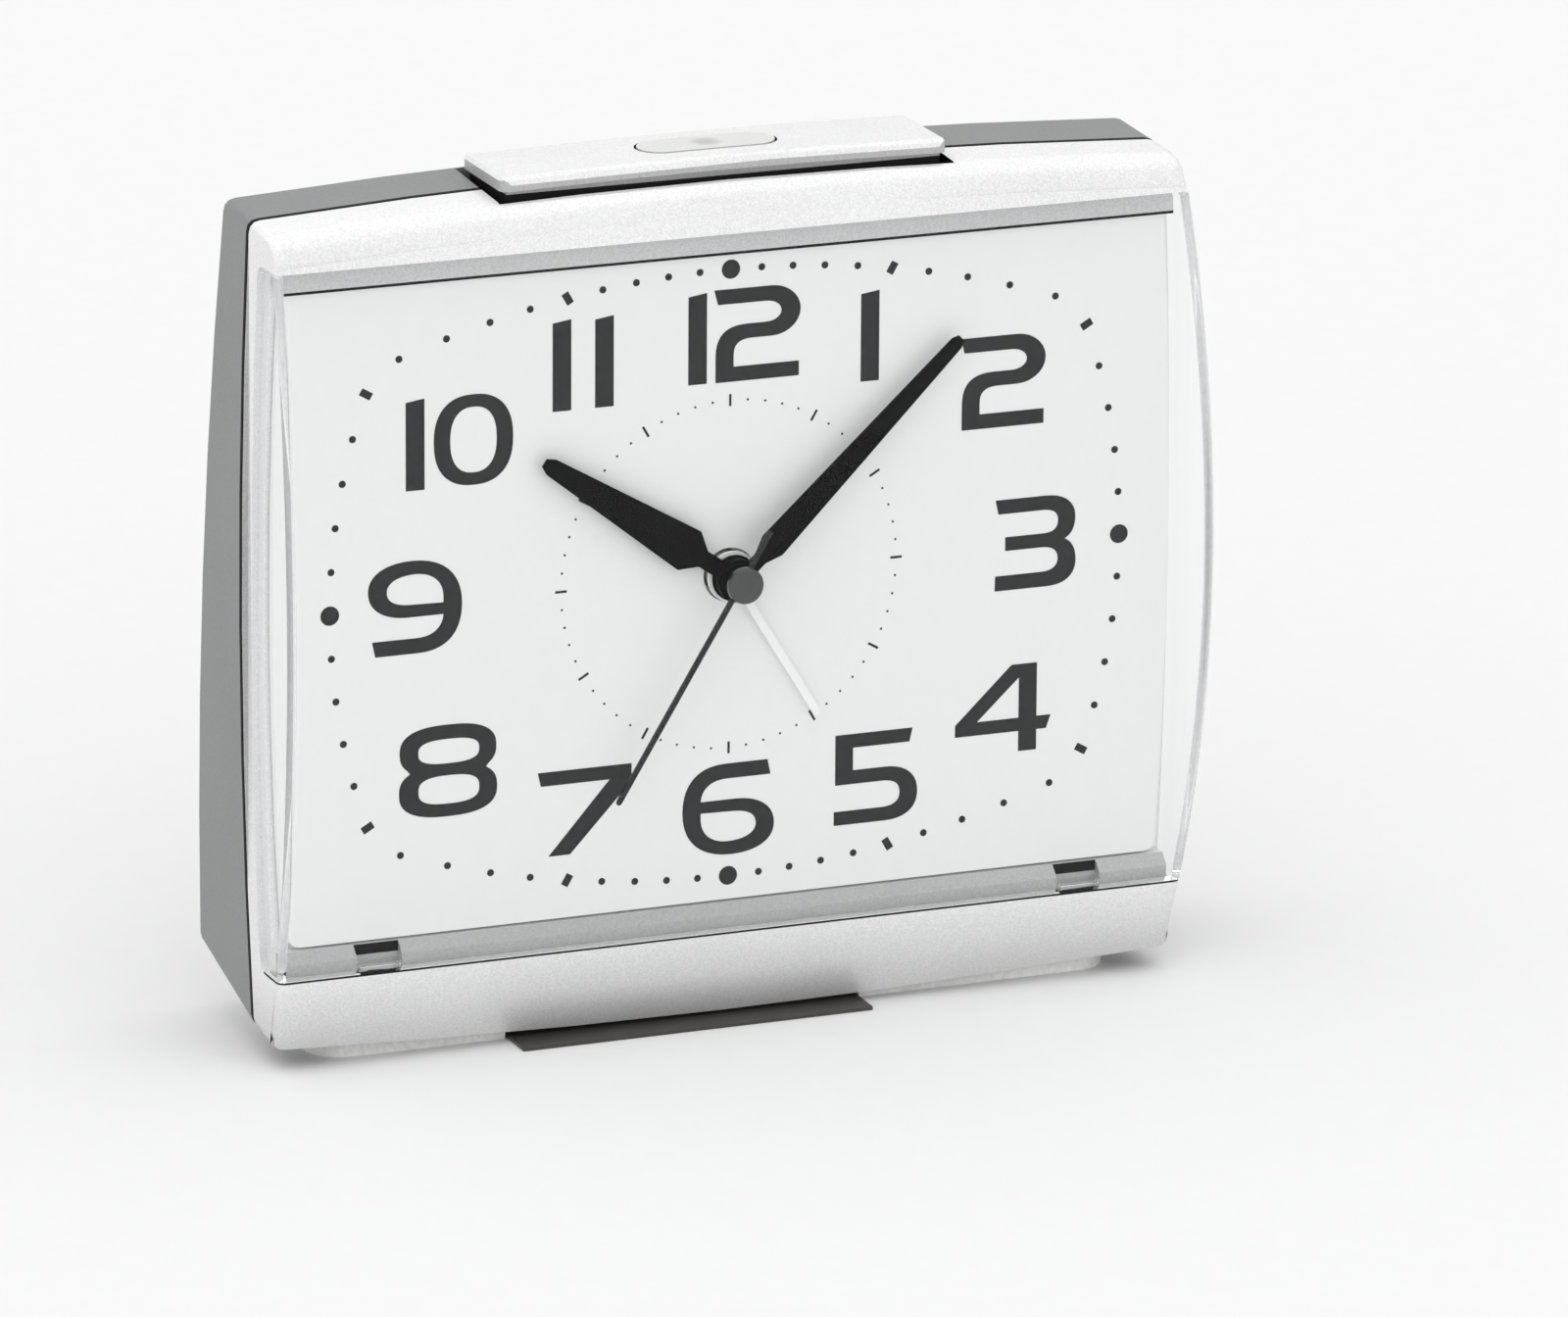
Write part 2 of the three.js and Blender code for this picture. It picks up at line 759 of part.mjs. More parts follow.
function ring(inset, thickness, y0, y1) {
  const slab = (grow) => {
    const outline = bowedOutline({ half: caseHalf - grow, low: caseLow + grow, high: caseTop - grow });
    return loft([section(outline, () => y0), section(outline, () => y1)]);
  };
  return slab(inset).subtract(slab(inset + thickness));
}

// A cylinder square to the leaning back, which ends at a gap inside its wall
function backRod(x, height, radius, length, gap) {
  const tilt = Math.atan(rearLean);
  const geometry = new THREE.CylinderGeometry(radius, radius, length, 24);
  const back = backDepth(height) - caseWall - gap;
  return solid(geometry.translate(0, -length / 2, 0).rotateX(tilt).translate(x, back, height));
}

function rodZ(x, y, radius, z0, z1, sides = 12) {
  const geometry = new THREE.CylinderGeometry(radius, radius, z1 - z0, sides).rotateX(Math.PI / 2);
  return solid(geometry.translate(x, y, (z0 + z1) / 2));
}

function rearCase() {
  const lining = rearBody(caseWall / 2);
  const shell = rearBody(0).subtract(rearBody(caseWall, 1));
  const lipInset = caseWall + seatGap;
  const lipBack = partingDepth + partingGap;
  const lip = ring(lipInset, lipWall, partingDepth - lipLength, lipBack + lipWall);
  const lipRoot = ring(caseWall / 2, lipInset + lipWall - caseWall / 2, lipBack, lipBack + lipWall);
  const posts = screwPlaces
    .map((at) => rodY(at, bossRadius, bossEnd + seatGap, backDepth(0)).intersect(lining));
  const bay = box(
    -bayHalf - bayWall, bayHalf + bayWall,
    bayFront - bayWall, backDepth(0),
    bayLow - bayWall, bayHigh + bayWall,
  ).intersect(lining);
  const shelfLow = shelfTop - shelfThick;
  const springShelf = box(-shelfHalf, shelfHalf, lipBack, backDepth(0), shelfLow, shelfTop)
    .intersect(lining)
    .add(box(-shelfHalf, shelfHalf, barMiddle - springRadius - shelfThick, lipBack + 1, shelfLow, shelfTop));
  const pegs = springPlaces
    .map((x) => rodZ(x, barMiddle, springPeg, shelfTop - shelfThick, shelfTop + springPegLength));
  const collarLength = buzzerCollarLength + caseWall / 2;
  const pocket = buzzerRadius + seatGap;
  const collar = backRod(buzzerAt, buzzerHeight, pocket + buzzerCollar, collarLength, -caseWall / 2)
    .subtract(backRod(buzzerAt, buzzerHeight, pocket, collarLength + reach, 0));
  const slots = Array.from({ length: soundSlots }, (_, i) => {
    const z = buzzerHeight + (i - (soundSlots - 1) / 2) * soundSlotPitch;
    const half = soundSlotWidth / 2;
    const shape = roundedRect(
      buzzerAt - soundSlotLength / 2, buzzerAt + soundSlotLength / 2,
      z - half, z + half,
      half * 0.99,
    );
    return prismY(shape, backDepth(z) - caseWall * 2, backDepth(z) + caseWall, 4);
  });
  const cuts = [
    barOpening,
    box(-bayHalf, bayHalf, bayFront, backDepth(0), bayLow, bayHigh),
    prismY(slideSlot(), backDepth(slideHeight) - reach / 2, backDepth(0), 4),
    ...slots,
    ...[motionAt, alarmAt].map((at) => rodY(at, knobStem + 2 * runGap, coverBack, backDepth(0), 20)),
    ...screwPlaces.map((at) => rodY(at, screwShank + seatGap, partingDepth, backDepth(0))),
    ...screwPlaces.map((at) => rodY(at, screwHead + seatGap, screwSeat(at), backDepth(0))),
    ...lugPlaces.map((x) => box(
      x - doorLug / 2 - runGap, x + doorLug / 2 + runGap,
      backDepth(bayLow) - doorThick - bayWall, backDepth(0),
      bayLow - doorLugLength - runGap, bayLow + 1,
    )),
  ];
  return union([shell, lip, lipRoot, ...posts, bay, springShelf, ...pegs, collar]).subtract(union(cuts));
}

function baseFoot() {
  const plan = roundedRect(-footHalf, footHalf, footFront, footBack, footRound);
  const notch = [plateLeft - seatGap, plateRight + seatGap];
  return prismZ(plan, 0, caseLow + rearRise, 5)
    .subtract(frontBody(-seatGap, partingDepth + 1))
    .subtract(rearBody(-seatGap, 1))
    .subtract(box(...notch, footFront - 1, plateSeat, -1, caseTop))
    .subtract(box(...notch, plateSeat - 1, plateBack + seatGap, -1, plateThick + seatGap));
}

// Pan-head screw along Y, driven from the back, whose head seats at a depth
function screw(at, shank, length, head, headHeight, seat) {
  const profile = [
    [0, seat - length],
    [shank, seat - length],
    [shank, seat],
    [head, seat],
    [head, seat + headHeight / 2],
    [head / 2, seat + headHeight],
    [0, seat + headHeight],
  ];
  return lathe(profile, 12).translate(at.x, 0, at.z);
}

function lathe(profile, segments) {
  return solid(new THREE.LatheGeometry(profile.map(([r, y]) => new THREE.Vector2(r, y)), segments));
}

// Quarter of a circle from the rim to the axis, as radius and height
function quarterRound(radius, height) {
  const steps = 3;
  return Array.from({ length: steps + 1 }, (_, i) => {
    const angle = Math.PI / 2 * i / steps;
    return [i === steps ? 0 : radius * Math.cos(angle), height * Math.sin(angle)];
  });
}

// Snooze bar

// Outline of the bar seen from the front, with a lower edge that follows the arch at a height above it
function barOutline(half, drop, lift) {
  const steps = 10;
  const end = archTop(barHalf) + barRise - drop - barChamfer;
  const run = half - barChamfer;
  const across = Array.from({ length: steps + 1 }, (_, i) => run * (1 - 2 * i / steps));
  return [
    new THREE.Vector2(half, archTop(half) + lift),
    new THREE.Vector2(half, end),
    ...across.map((x) => new THREE.Vector2(x, archTop(x) + barRise - drop)),
    new THREE.Vector2(-half, end),
    new THREE.Vector2(-half, archTop(half) + lift),
    ...across.reverse().map((x) => new THREE.Vector2(x, archTop(x) + lift)),
  ];
}

function snoozeBar() {
  const quarter = [0, 30, 60, 90].map((degrees) => THREE.MathUtils.degToRad(degrees));
  const edge = quarter.map((a) => ({
    run: barRound * (1 - Math.cos(a)),
    outline: barOutline(barHalf, barRound * (1 - Math.sin(a)), barLift),
  }));
  const sections = [
    ...edge.map(({ run, outline }) => section(outline, () => barFront + run)),
    ...edge.reverse().map(({ run, outline }) => section(outline, () => barBack - run)),
  ];
  const plan = roundedRect(-barHalf, barHalf, barFront, barBack, barCorner);
  const cap = loft(sections).intersect(prismZ(plan, barLow, caseTop + reach, 4));
  const inside = (inset, drop, lift) => loft([barFront + inset, barBack - inset]
    .map((y) => section(barOutline(barHalf - inset, drop, lift), () => y)));
  const skirt = inside(barStep, barWall / 2, -barSkirt);
  const hollow = inside(barStep + barWall, barWall, -barSkirt - 1);
  const lugDepth = partingDepth + partingGap + lipWall + seatGap + barWall;
  const lugTop = archTop(barHalf + barLip) - caseWall - seatGap;
  const lugs = [-1, 1].map((side) => {
    const [x0, x1] = [side * (barHalf - barWall), side * (barHalf + barLip)].sort((a, b) => a - b);
    return box(x0, x1, lugDepth - barWall, lugDepth + barWall, barLow, lugTop);
  });
  const roof = archTop(springAt) + barRise - barWall;
  const pegs = springPlaces
    .map((x) => rodZ(x, barMiddle, springPeg, roof - springPegLength, roof + barWall / 2));
  const plungerLow = switchTop + barTravel + seatGap;
  const plunger = rodZ(switchAt, barMiddle, switchButton, plungerLow, roof + barWall / 2);
  const windowCut = prismZ(windowShape(seatGap), barLow, caseTop + reach, 8);
  return union([cap.add(skirt).subtract(hollow), ...lugs, ...pegs, plunger]).subtract(windowCut);
}

// Stadium outline of the window, seen from above
function windowShape(grow) {
  const half = windowLength / 2 - windowWidth / 2;
  const radius = windowWidth / 2 + grow;
  const shape = new THREE.Shape();
  shape.absarc(half, barMiddle, radius, -Math.PI / 2, Math.PI / 2);
  shape.absarc(-half, barMiddle, radius, Math.PI / 2, 1.5 * Math.PI);
  shape.closePath();
  return shape;
}

function snoozeWindow() {
  const barTop = archTop(0) + barRise;
  const roof = archTop(windowLength / 2 + windowFlange) + barRise - barWall;
  const plug = prismZ(windowShape(0), roof - seatGap - windowFlangeThick, barTop + windowProud, 8);
  const flange = prismZ(windowShape(windowFlange), roof - seatGap - windowFlangeThick, roof - seatGap, 8);
  return plug.add(flange);
}

function snoozeSwitch() {
  const half = switchSize / 2;
  const base = snoozeBoardTop + seatGap;
  const depths = [barMiddle - half, barMiddle + half];
  const body = box(switchAt - half, switchAt + half, ...depths, base, base + switchBody);
  return body.add(rodZ(switchAt, barMiddle, switchButton, base, switchTop));
}

function snoozeLamp() {
  const base = snoozeBoardTop + seatGap;
  const dome = quarterRound(lampRadius, lampRadius).map(([r, h]) => [r, lampHeight - lampRadius + h]);
  const rim = lampRadius + lampRim;
  const profile = [[0, 0], [rim, 0], [rim, lampRim * 2], [lampRadius, lampRim * 2], ...dome];
  return lathe(profile, 16).rotate([90, 0, 0]).translate(0, barMiddle, base);
}

function snoozeSpring(name, x) {
  const base = shelfTop + seatGap;
  const roof = archTop(springAt) + barRise - barWall - seatGap;
  const geometry = springGeometry(name, springRadius, springRadius, roof - base, springTurns, springWire);
  return solid(geometry.translate(x, barMiddle, base));
}

// Movement: housing, plates and board

function movementOutline(inset) {
  const half = movementHalf - inset;
  return roundedRect(-half, half, axis.z - half, axis.z + half, movementRound - inset);
}

function housing() {
  const shell = prismY(movementOutline(0), movementFront, coverFront - seatGap, 4)
    .subtract(prismY(movementOutline(housingWall), trainStart, coverFront + 1, 4));
  const bush = rodY(axis, bushRadius, carrierFront, trainStart, 24);
  const ears = earPlaces.map((at) => {
    const [left, right] = at.x < 0 ? [earWidth, earWidth + housingWall] : [earWidth + housingWall, earWidth];
    return box(
      at.x - left / 2, at.x + right / 2,
      earFront, earFront + earThick,
      at.z - earHeight / 2, at.z + earHeight / 2,
    );
  });
  const posts = platePostPlaces.map((at) => rodY(at, postRadius, movementFront, plane(3) - seatGap));
  const boardPosts = boardPostPlaces.map((at) => rodY(at, postRadius, movementFront, boardFront - seatGap));
  const cuts = [
    rodY(axis, tubes.alarm.outer + runGap, carrierFront - 1, trainStart + 1, 24),
    ...[motionAt, alarmAt]
      .map((at) => rodY(at, arborRadius + runGap, trainStart - pivotDepth, trainStart + 1)),
    ...earPlaces.map((at) => rodY(at, earScrewShank + seatGap, earFront - 1, earFront + earThick + 1)),
  ];
  return union([shell, bush, ...ears, ...posts, ...boardPosts]).subtract(union(cuts));
}

function rearCover() {
  const cuts = [
    ...[motionAt, alarmAt].map((at) => rodY(at, setArborRadius + runGap, coverFront - 1, coverBack + 1)),
    ...[axis, thirdAt, stepAt, rotorAt]
      .map((at) => rodY(at, arborRadius + runGap, coverFront - 1, coverFront + pivotDepth)),
    prismY(slideSlot(), coverFront - 1, coverBack + 1, 4),
  ];
  return prismY(movementOutline(0), coverFront, coverBack, 4).subtract(union(cuts));
}

function middlePlate() {
  const { left, right, top, bottom } = plateEdge;
  const shape = roundedRect(left, right, axis.z - bottom, axis.z + top, postRadius);
  const plate = prismY(shape, plane(3), plane(3) + wheelThick, 3);
  const cuts = [
    [axis, tubes.minute.outer],
    [motionAt, setArborRadius],
    [alarmAt, setArborRadius],
    [thirdAt, arborRadius],
    [stepAt, arborRadius],
    [rotorAt, arborRadius],
  ].map(([at, radius]) => rodY(at, radius + runGap, plane(3) - 1, plane(4)));
  return plate.subtract(union(cuts));
}

function slideSlot() {
  const half = slideStem / 2 + runGap;
  const end = slideStemHeight / 2 + runGap;
  const top = slideHeight + slideTravel + end;
  return roundedRect(slideX - half, slideX + half, slideHeight - end, top, half / 2);
}

// Block around the slide's middle line, between two depths
function slideBlock(half, halfHeight, y0, y1) {
  return box(slideX - half, slideX + half, y0, y1, slideHeight - halfHeight, slideHeight + halfHeight);
}

function alarmSlide() {
  const base = boardBack + runGap;
  const gripFront = backDepth(slideHeight - slideGrip / 2) + knobGap;
  const gripBack = gripFront + slideGripThick;
  return union([
    slideBlock(slideStem / 2, slideStemHeight / 2, base, gripBack),
    slideBlock(slideStem / 2 + slideRib, slideStemHeight, base, base + slideBase),
    slideBlock(slideGrip / 2, slideGrip / 2, gripFront, gripBack),
    slideBlock(slideGrip / 2, slideRib, gripFront, gripBack + slideRib),
  ]);
}

// Movement: wheels

function gear(count, module, at, phase, front, bore = 0) {
  const pitch = module * count / 2;
  const tip = pitch + addendum * module;
  const root = pitch - dedendum * module;
  const step = 2 * Math.PI / count;
  const points = [];
  for (let k = 0; k < count; k++) {
    const flanks = [[-toothRoot, root], [-toothTip, tip], [toothTip, tip], [toothRoot, root]];
    for (const [share, radius] of flanks) {
      const angle = phase + (k + share) * step;
      points.push(new THREE.Vector2(at.x + radius * Math.cos(angle), at.z + radius * Math.sin(angle)));
    }
  }
  const shape = new THREE.Shape(points);
  if (bore) shape.holes.push(disc(at, bore));
  return prismY(shape, front, front + wheelThick, 16);
}

// Two wheels that mesh: the module follows from the distance, and the second wheel is turned
// so that one of its gaps faces a tooth of the first
function gearPair(first, firstTeeth, second, secondTeeth) {
  const direction = Math.atan2(second.z - first.z, second.x - first.x);
  const distance = Math.hypot(second.x - first.x, second.z - first.z);
  return {
    module: 2 * distance / (firstTeeth + secondTeeth),
    phase: direction + Math.PI + direction * firstTeeth / secondTeeth - Math.PI / secondTeeth,
  };
}

const secondThird = gearPair(axis, teeth.secondPinion, thirdAt, teeth.third);
const thirdCentre = gearPair(thirdAt, teeth.thirdPinion, axis, teeth.centre);
const secondStep = gearPair(axis, teeth.second, stepAt, teeth.stepPinion);
const stepRotor = gearPair(stepAt, teeth.step, rotorAt, teeth.rotorPinion);
const minuteMotion = gearPair(axis, teeth.minutePinion, motionAt, teeth.motion);
const motionHour = gearPair(motionAt, teeth.motionPinion, axis, teeth.hour);
const alarmSetting = gearPair(axis, teeth.alarm, alarmAt, teeth.alarmPinion);
const pivotEnd = coverFront + pivotDepth - runGap;

function secondWheel() {
  return union([
    rodY(axis, arborRadius, capBack - capHeight / 2, pivotEnd),
    gear(teeth.secondPinion, secondThird.module, axis, 0, plane(5)),
    gear(teeth.second, secondStep.module, axis, 0, plane(6)),
  ]);
}

function thirdWheel() {
  return union([
    rodY(thirdAt, arborRadius, plane(3), pivotEnd),
    gear(teeth.thirdPinion, thirdCentre.module, thirdAt, 0, plane(4)),
    gear(teeth.third, secondThird.module, thirdAt, secondThird.phase, plane(5)),
  ]);
}

function stepWheel() {
  return union([
    rodY(stepAt, arborRadius, plane(3), pivotEnd),
    gear(teeth.stepPinion, secondStep.module, stepAt, secondStep.phase, plane(6)),
    gear(teeth.step, stepRotor.module, stepAt, 0, plane(7)),
  ]);
}

function rotor() {
  return union([
    rodY(rotorAt, arborRadius, plane(3), pivotEnd),
    rodY(rotorAt, magnetRadius, plane(4), plane(4) + magnetLength, 20),
    gear(teeth.rotorPinion, stepRotor.module, rotorAt, stepRotor.phase, plane(7)),
  ]);
}

function centreWheel() {
  const bore = tubes.minute.outer + runGap;
  return gear(teeth.centre, thirdCentre.module, axis, thirdCentre.phase, plane(4), bore);
}

function minuteTube() {
  const { inner, outer } = tubes.minute;
  return tubeY(axis, inner, outer, minuteHand.depth - handThick - handFit, plane(4) + wheelThick)
    .add(gear(teeth.minutePinion, minuteMotion.module, axis, 0, plane(2), inner));
}

function hourWheel() {
  const { inner, outer } = tubes.hour;
  return tubeY(axis, inner, outer, hourHand.depth - handThick - handFit, plane(1) + wheelThick)
    .add(gear(teeth.hour, motionHour.module, axis, motionHour.phase, plane(1), inner));
}

function alarmWheel() {
  const { inner, outer } = tubes.alarm;
  return tubeY(axis, inner, outer, alarmHand.depth - handThick - handFit, plane(0) + wheelThick)
    .add(gear(teeth.alarm, alarmSetting.module, axis, 0, plane(0), inner));
}

// Arbor that ends in a knob on the back
function setArbor(at, from) {
  const pivot = rodY(at, arborRadius, trainStart - pivotDepth + runGap, from + wheelThick);
  return pivot.add(rodY(at, setArborRadius, from, knobFront(at) + knobBore));
}

function motionWheel() {
  return union([
    setArbor(motionAt, plane(1)),
    gear(teeth.motionPinion, motionHour.module, motionAt, 0, plane(1)),
    gear(teeth.motion, minuteMotion.module, motionAt, minuteMotion.phase, plane(2)),
  ]);
}

function alarmPinion() {
  const { module, phase } = alarmSetting;
  return setArbor(alarmAt, plane(0)).add(gear(teeth.alarmPinion, module, alarmAt, phase, plane(0)));
}

function knob(at) {
  const ridges = Array.from({ length: knobRidges * 2 }, (_, i) => {
    const angle = Math.PI * i / knobRidges;
    const radius = knobRadius - (i % 2) * knobRidgeDepth;
    return new THREE.Vector2(at.x + radius * Math.cos(angle), at.z + radius * Math.sin(angle));
  });
  const face = knobFront(at);
  const bore = setArborRadius + handFit;
  return prismY(new THREE.Shape(ridges), face, face + knobThick)
    .add(rodY(at, knobStem, coverBack + seatGap, face + knobThick / 2))
    .subtract(rodY(at, bore, coverBack, face + knobBore + handFit));
}

// Stepping motor

function stator() {
  const top = axis.z - statorBarTop;
  const low = axis.z - coreDrop - coreHeight / 2;
  const y = [plane(3) + wheelThick + seatGap, plane(3) + wheelThick + seatGap + statorThick];
  return union([
    box(statorLeft, statorRight, ...y, top - statorBarHeight, top),
    box(statorLeft, statorLeft + statorLeg, ...y, low, top),
    box(statorRight - statorLeg, statorRight, ...y, low, top),
    rodY(rotorAt, statorEye, ...y, 24),
  ]).subtract(rodY(rotorAt, magnetRadius + 2 * runGap, y[0] - 1, y[1] + 1, 24));
}

const coreBack = plane(3) + wheelThick;
const coreMiddle = axis.z - coreDrop;

function coilCore() {
  const half = coreHeight / 2;
  return box(statorLeft, statorRight, coreBack - coreThick, coreBack, coreMiddle - half, coreMiddle + half);
}

function driveCoil() {
  const start = statorLeft + statorLeg + coilEndGap;
  const length = statorRight - statorLeft - 2 * (statorLeg + coilEndGap);
  const waist = coilRadius - coilWaist;
  const profile = [
    [coilHole, 0],
    [coilRadius, 0],
    [coilRadius, coilFlange],
    [waist, coilFlange],
    [waist, length - coilFlange],
    [coilRadius, length - coilFlange],
    [coilRadius, length],
    [coilHole, length],
    [coilHole, 0],
  ];
  return lathe(profile, 16).rotate([0, 0, -90]).translate(start, coreBack - coreThick / 2, coreMiddle);
}

function circuitBoard() {
  return box(boardLeft, boardRight, boardFront, boardBack, axis.z - boardReach, axis.z + boardReach);
}

function controlChip() {
  const half = chipSize / 2;
  const z = axis.z + chipAt;
  const front = boardBack + seatGap;
  return box(slideX - half, slideX + half, front, front + chipHeight, z - half, z + half);
}

function quartzCrystal() {
  const z = axis.z + crystalAt;
  const y = boardBack + seatGap + crystalRadius;
  return rodZ(slideX, y, crystalRadius, z - crystalLength / 2, z + crystalLength / 2);
}

// Battery bay

function batteryCell() {
  const shoulder = cellLength - cellNubLength;
  const profile = [
    [0, 0],
    [cellRadius - cellEdge, 0],
    [cellRadius, cellEdge],
    [cellRadius, shoulder - cellEdge],
    [cellRadius - cellEdge, shoulder],
    [cellNubRadius, shoulder],
    [cellNubRadius, cellLength],
    [0, cellLength],
  ];
  return lathe(profile, 24).rotate([0, 0, -90]).translate(cellEnd - cellLength, cellDepth, cellHeight);
}

function plusContact() {
  const half = contactWidth / 2;
  const x = [bayHalf - seatGap - contactThick, bayHalf - seatGap];
  return box(...x, cellDepth - half, cellDepth + half, cellHeight - half, cellHeight + half);
}

function minusContact() {
  const geometry = springGeometry(
    'battery_spring', contactSpringWide, contactSpringNarrow,
    contactSpringLength, contactSpringTurns, contactSpringWire,
  );
  return solid(geometry.rotateY(Math.PI / 2).translate(-bayHalf + seatGap, cellDepth, cellHeight));
}

function batteryDoor() {
  const low = bayLow + seatGap;
  const high = bayHigh - seatGap;
  const half = bayHalf - seatGap;
  const plate = prismX(polygon([
    [backDepth(low) - doorThick, low],
    [backDepth(low), low],
    [backDepth(high), high],
    [backDepth(high) - doorThick, high],
  ]), -half, half);
  const notchHeight = high - 2 * doorNotchRadius;
  const notch = new THREE.CylinderGeometry(doorNotchRadius, doorNotchRadius, 2 * doorNotchHalf, 16)
    .rotateZ(Math.PI / 2)
    .translate(0, backDepth(notchHeight) + doorNotchRadius / 2, notchHeight);
  const lugs = lugPlaces.map((x) => box(
    x - doorLug / 2, x + doorLug / 2,
    backDepth(low) - doorThick, backDepth(low) - doorThick / 2,
    low - doorLugLength, low + 1,
  ));
  return union([plate, ...lugs]).subtract(solid(notch));
}

// Hands, drawn pointing up around the origin and then turned

function handPiece(name, hand, outline, hole, material) {
  const y = [hand.depth - handThick, hand.depth];
  const origin = { x: 0, z: 0 };
  const body = prismY(polygon(outline), ...y).add(rodY(origin, hand.hub, ...y, 24))
    .subtract(rodY(origin, hole + handFit, y[0] - 1, y[1] + 1));
  const { shoulderAt = 0, length, bend = 0 } = hand;
  const bent = body.warp((point) => {
    point[1] += bend * Math.max(0, point[2] - shoulderAt) / (length - shoulderAt);
  });
  const mesh = piece(name, bent, material);
  mesh.position.z = axisHeight;
  mesh.rotation.y = THREE.MathUtils.degToRad(hand.angle);
}

function mirrored(half) {
  return [...half, ...half.toReversed().map(([x, z]) => [-x, z])];
}

function bladeOutline({ neck, shoulderAt, half, tip, length }) {
  return mirrored([
    [neck, 0],
    [neck, shoulderAt - shoulderRun],
    [half, shoulderAt],
    [tip, length - tip],
    [tip / 2, length],
  ]);
}

function needleOutline({ half, length, tail = 0 }) {
  return mirrored([[half, -tail], [half, length - half], [half / 2, length]]);
}

function secondCap() {
  const middle = capBack - capHeight / 2;
  const dome = quarterRound(capRadius, capHeight / 2).map(([r, h]) => [r, middle - h]).reverse();
  const bore = arborRadius + handFit;
  const boreEnd = middle - handFit;
  const profile = [...dome, [capRadius, capBack], [bore, capBack], [bore, boreEnd], [0, boreEnd]];
  return lathe(profile, 24).translate(0, 0, axis.z);
}

piece('front_bezel', frontBezel(), silver);
piece('lens_cover', lensCover(), clear);
piece('dial_plate', dialPlate(), white);
piece('rear_case', rearCase(), grey);
piece('base_foot', baseFoot(), white);
piece('stabiliser_plate', box(plateLeft, plateRight, plateFront, plateBack, 0, plateThick), smoke);
piece('snooze_bar', snoozeBar(), silver);
piece('snooze_window', snoozeWindow(), resin);
springPlaces.forEach((x) => {
  const name = x < 0 ? 'snooze_spring_left' : 'snooze_spring_right';
  piece(name, snoozeSpring(name, x), steel);
});
piece('snooze_board', box(
  -snoozeBoardHalf, snoozeBoardHalf,
  barMiddle - snoozeBoardDepth / 2, barMiddle + snoozeBoardDepth / 2,
  snoozeBoardTop - boardThick, snoozeBoardTop,
), board);
piece('snooze_switch', snoozeSwitch(), black);
piece('snooze_lamp', snoozeLamp(), resin);
screwPlaces.forEach((at, i) => {
  const seat = screwSeat(at) + seatGap;
  const length = seat - (bossEnd - screwBite);
  piece(`case_screw_${i + 1}`, screw(at, screwShank, length, screwHead, screwHeadHeight, seat), steel);
});
piece('movement_housing', housing(), white);
piece('movement_cover', rearCover(), white);
piece('middle_plate', middlePlate(), resin);
earPlaces.forEach((at, i) => {
  const seat = earFront + earThick + seatGap;
  const length = seat - earScrewEnd;
  const body = screw(at, earScrewShank, length, earScrewHead, earScrewHeadHeight, seat);
  piece(`movement_screw_${i + 1}`, body, steel);
});
piece('circuit_board', circuitBoard(), board);
piece('control_chip', controlChip(), black);
piece('quartz_crystal', quartzCrystal(), steel);
piece('stator', stator(), steel);
piece('coil_core', coilCore(), steel);
piece('drive_coil', driveCoil(), copper);
piece('rotor', rotor(), white);
piece('step_wheel', stepWheel(), resin);
piece('second_wheel', secondWheel(), brass);
piece('third_wheel', thirdWheel(), resin);
piece('centre_wheel', centreWheel(), brass);
piece('minute_tube', minuteTube(), brass);
piece('motion_wheel', motionWheel(), resin);
piece('hour_wheel', hourWheel(), resin);
piece('alarm_wheel', alarmWheel(), resin);
piece('alarm_set_pinion', alarmPinion(), resin);
piece('time_set_knob', knob(motionAt), black);
piece('alarm_set_knob', knob(alarmAt), black);
piece('alarm_switch', alarmSlide(), black);
piece('buzzer', backRod(buzzerAt, buzzerHeight, buzzerRadius, buzzerThick, seatGap), black);
piece('battery_cell', batteryCell(), wrapper);
piece('battery_contact_plus', plusContact(), steel);
piece('battery_spring_minus', minusContact(), steel);
piece('battery_door', batteryDoor(), grey);
handPiece('alarm_hand', alarmHand, needleOutline(alarmHand), tubes.alarm.outer, white);
handPiece('hour_hand', hourHand, bladeOutline(hourHand), tubes.hour.outer, black);
handPiece('minute_hand', minuteHand, bladeOutline(minuteHand), tubes.minute.outer, black);
handPiece('second_hand', secondHand, needleOutline(secondHand), arborRadius, black);
piece('second_hand_cap', secondCap(), black);

// The origin lies below the middle of the depth
const rearmost = backDepth(caseLow + rearRise + backRound - bottomBow);
clock.position.y = -(noseDepth + rearmost) / 2;

export default clock;
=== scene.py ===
# %% [markdown]
# A quartz alarm clock, dressed for its portrait
#
# The solids of the clock come in as a fixed frame: bezel, lens, dial, hands, case and everything inside.
# This notebook gives them their surfaces. Some pieces are modelled again by hand, because a mould leaves
# soft edges that a plain solid lacks, and every piece gets a finish made from nodes.

# %% Load the frame
import json
import math

import bpy
from mathutils import Matrix, Vector


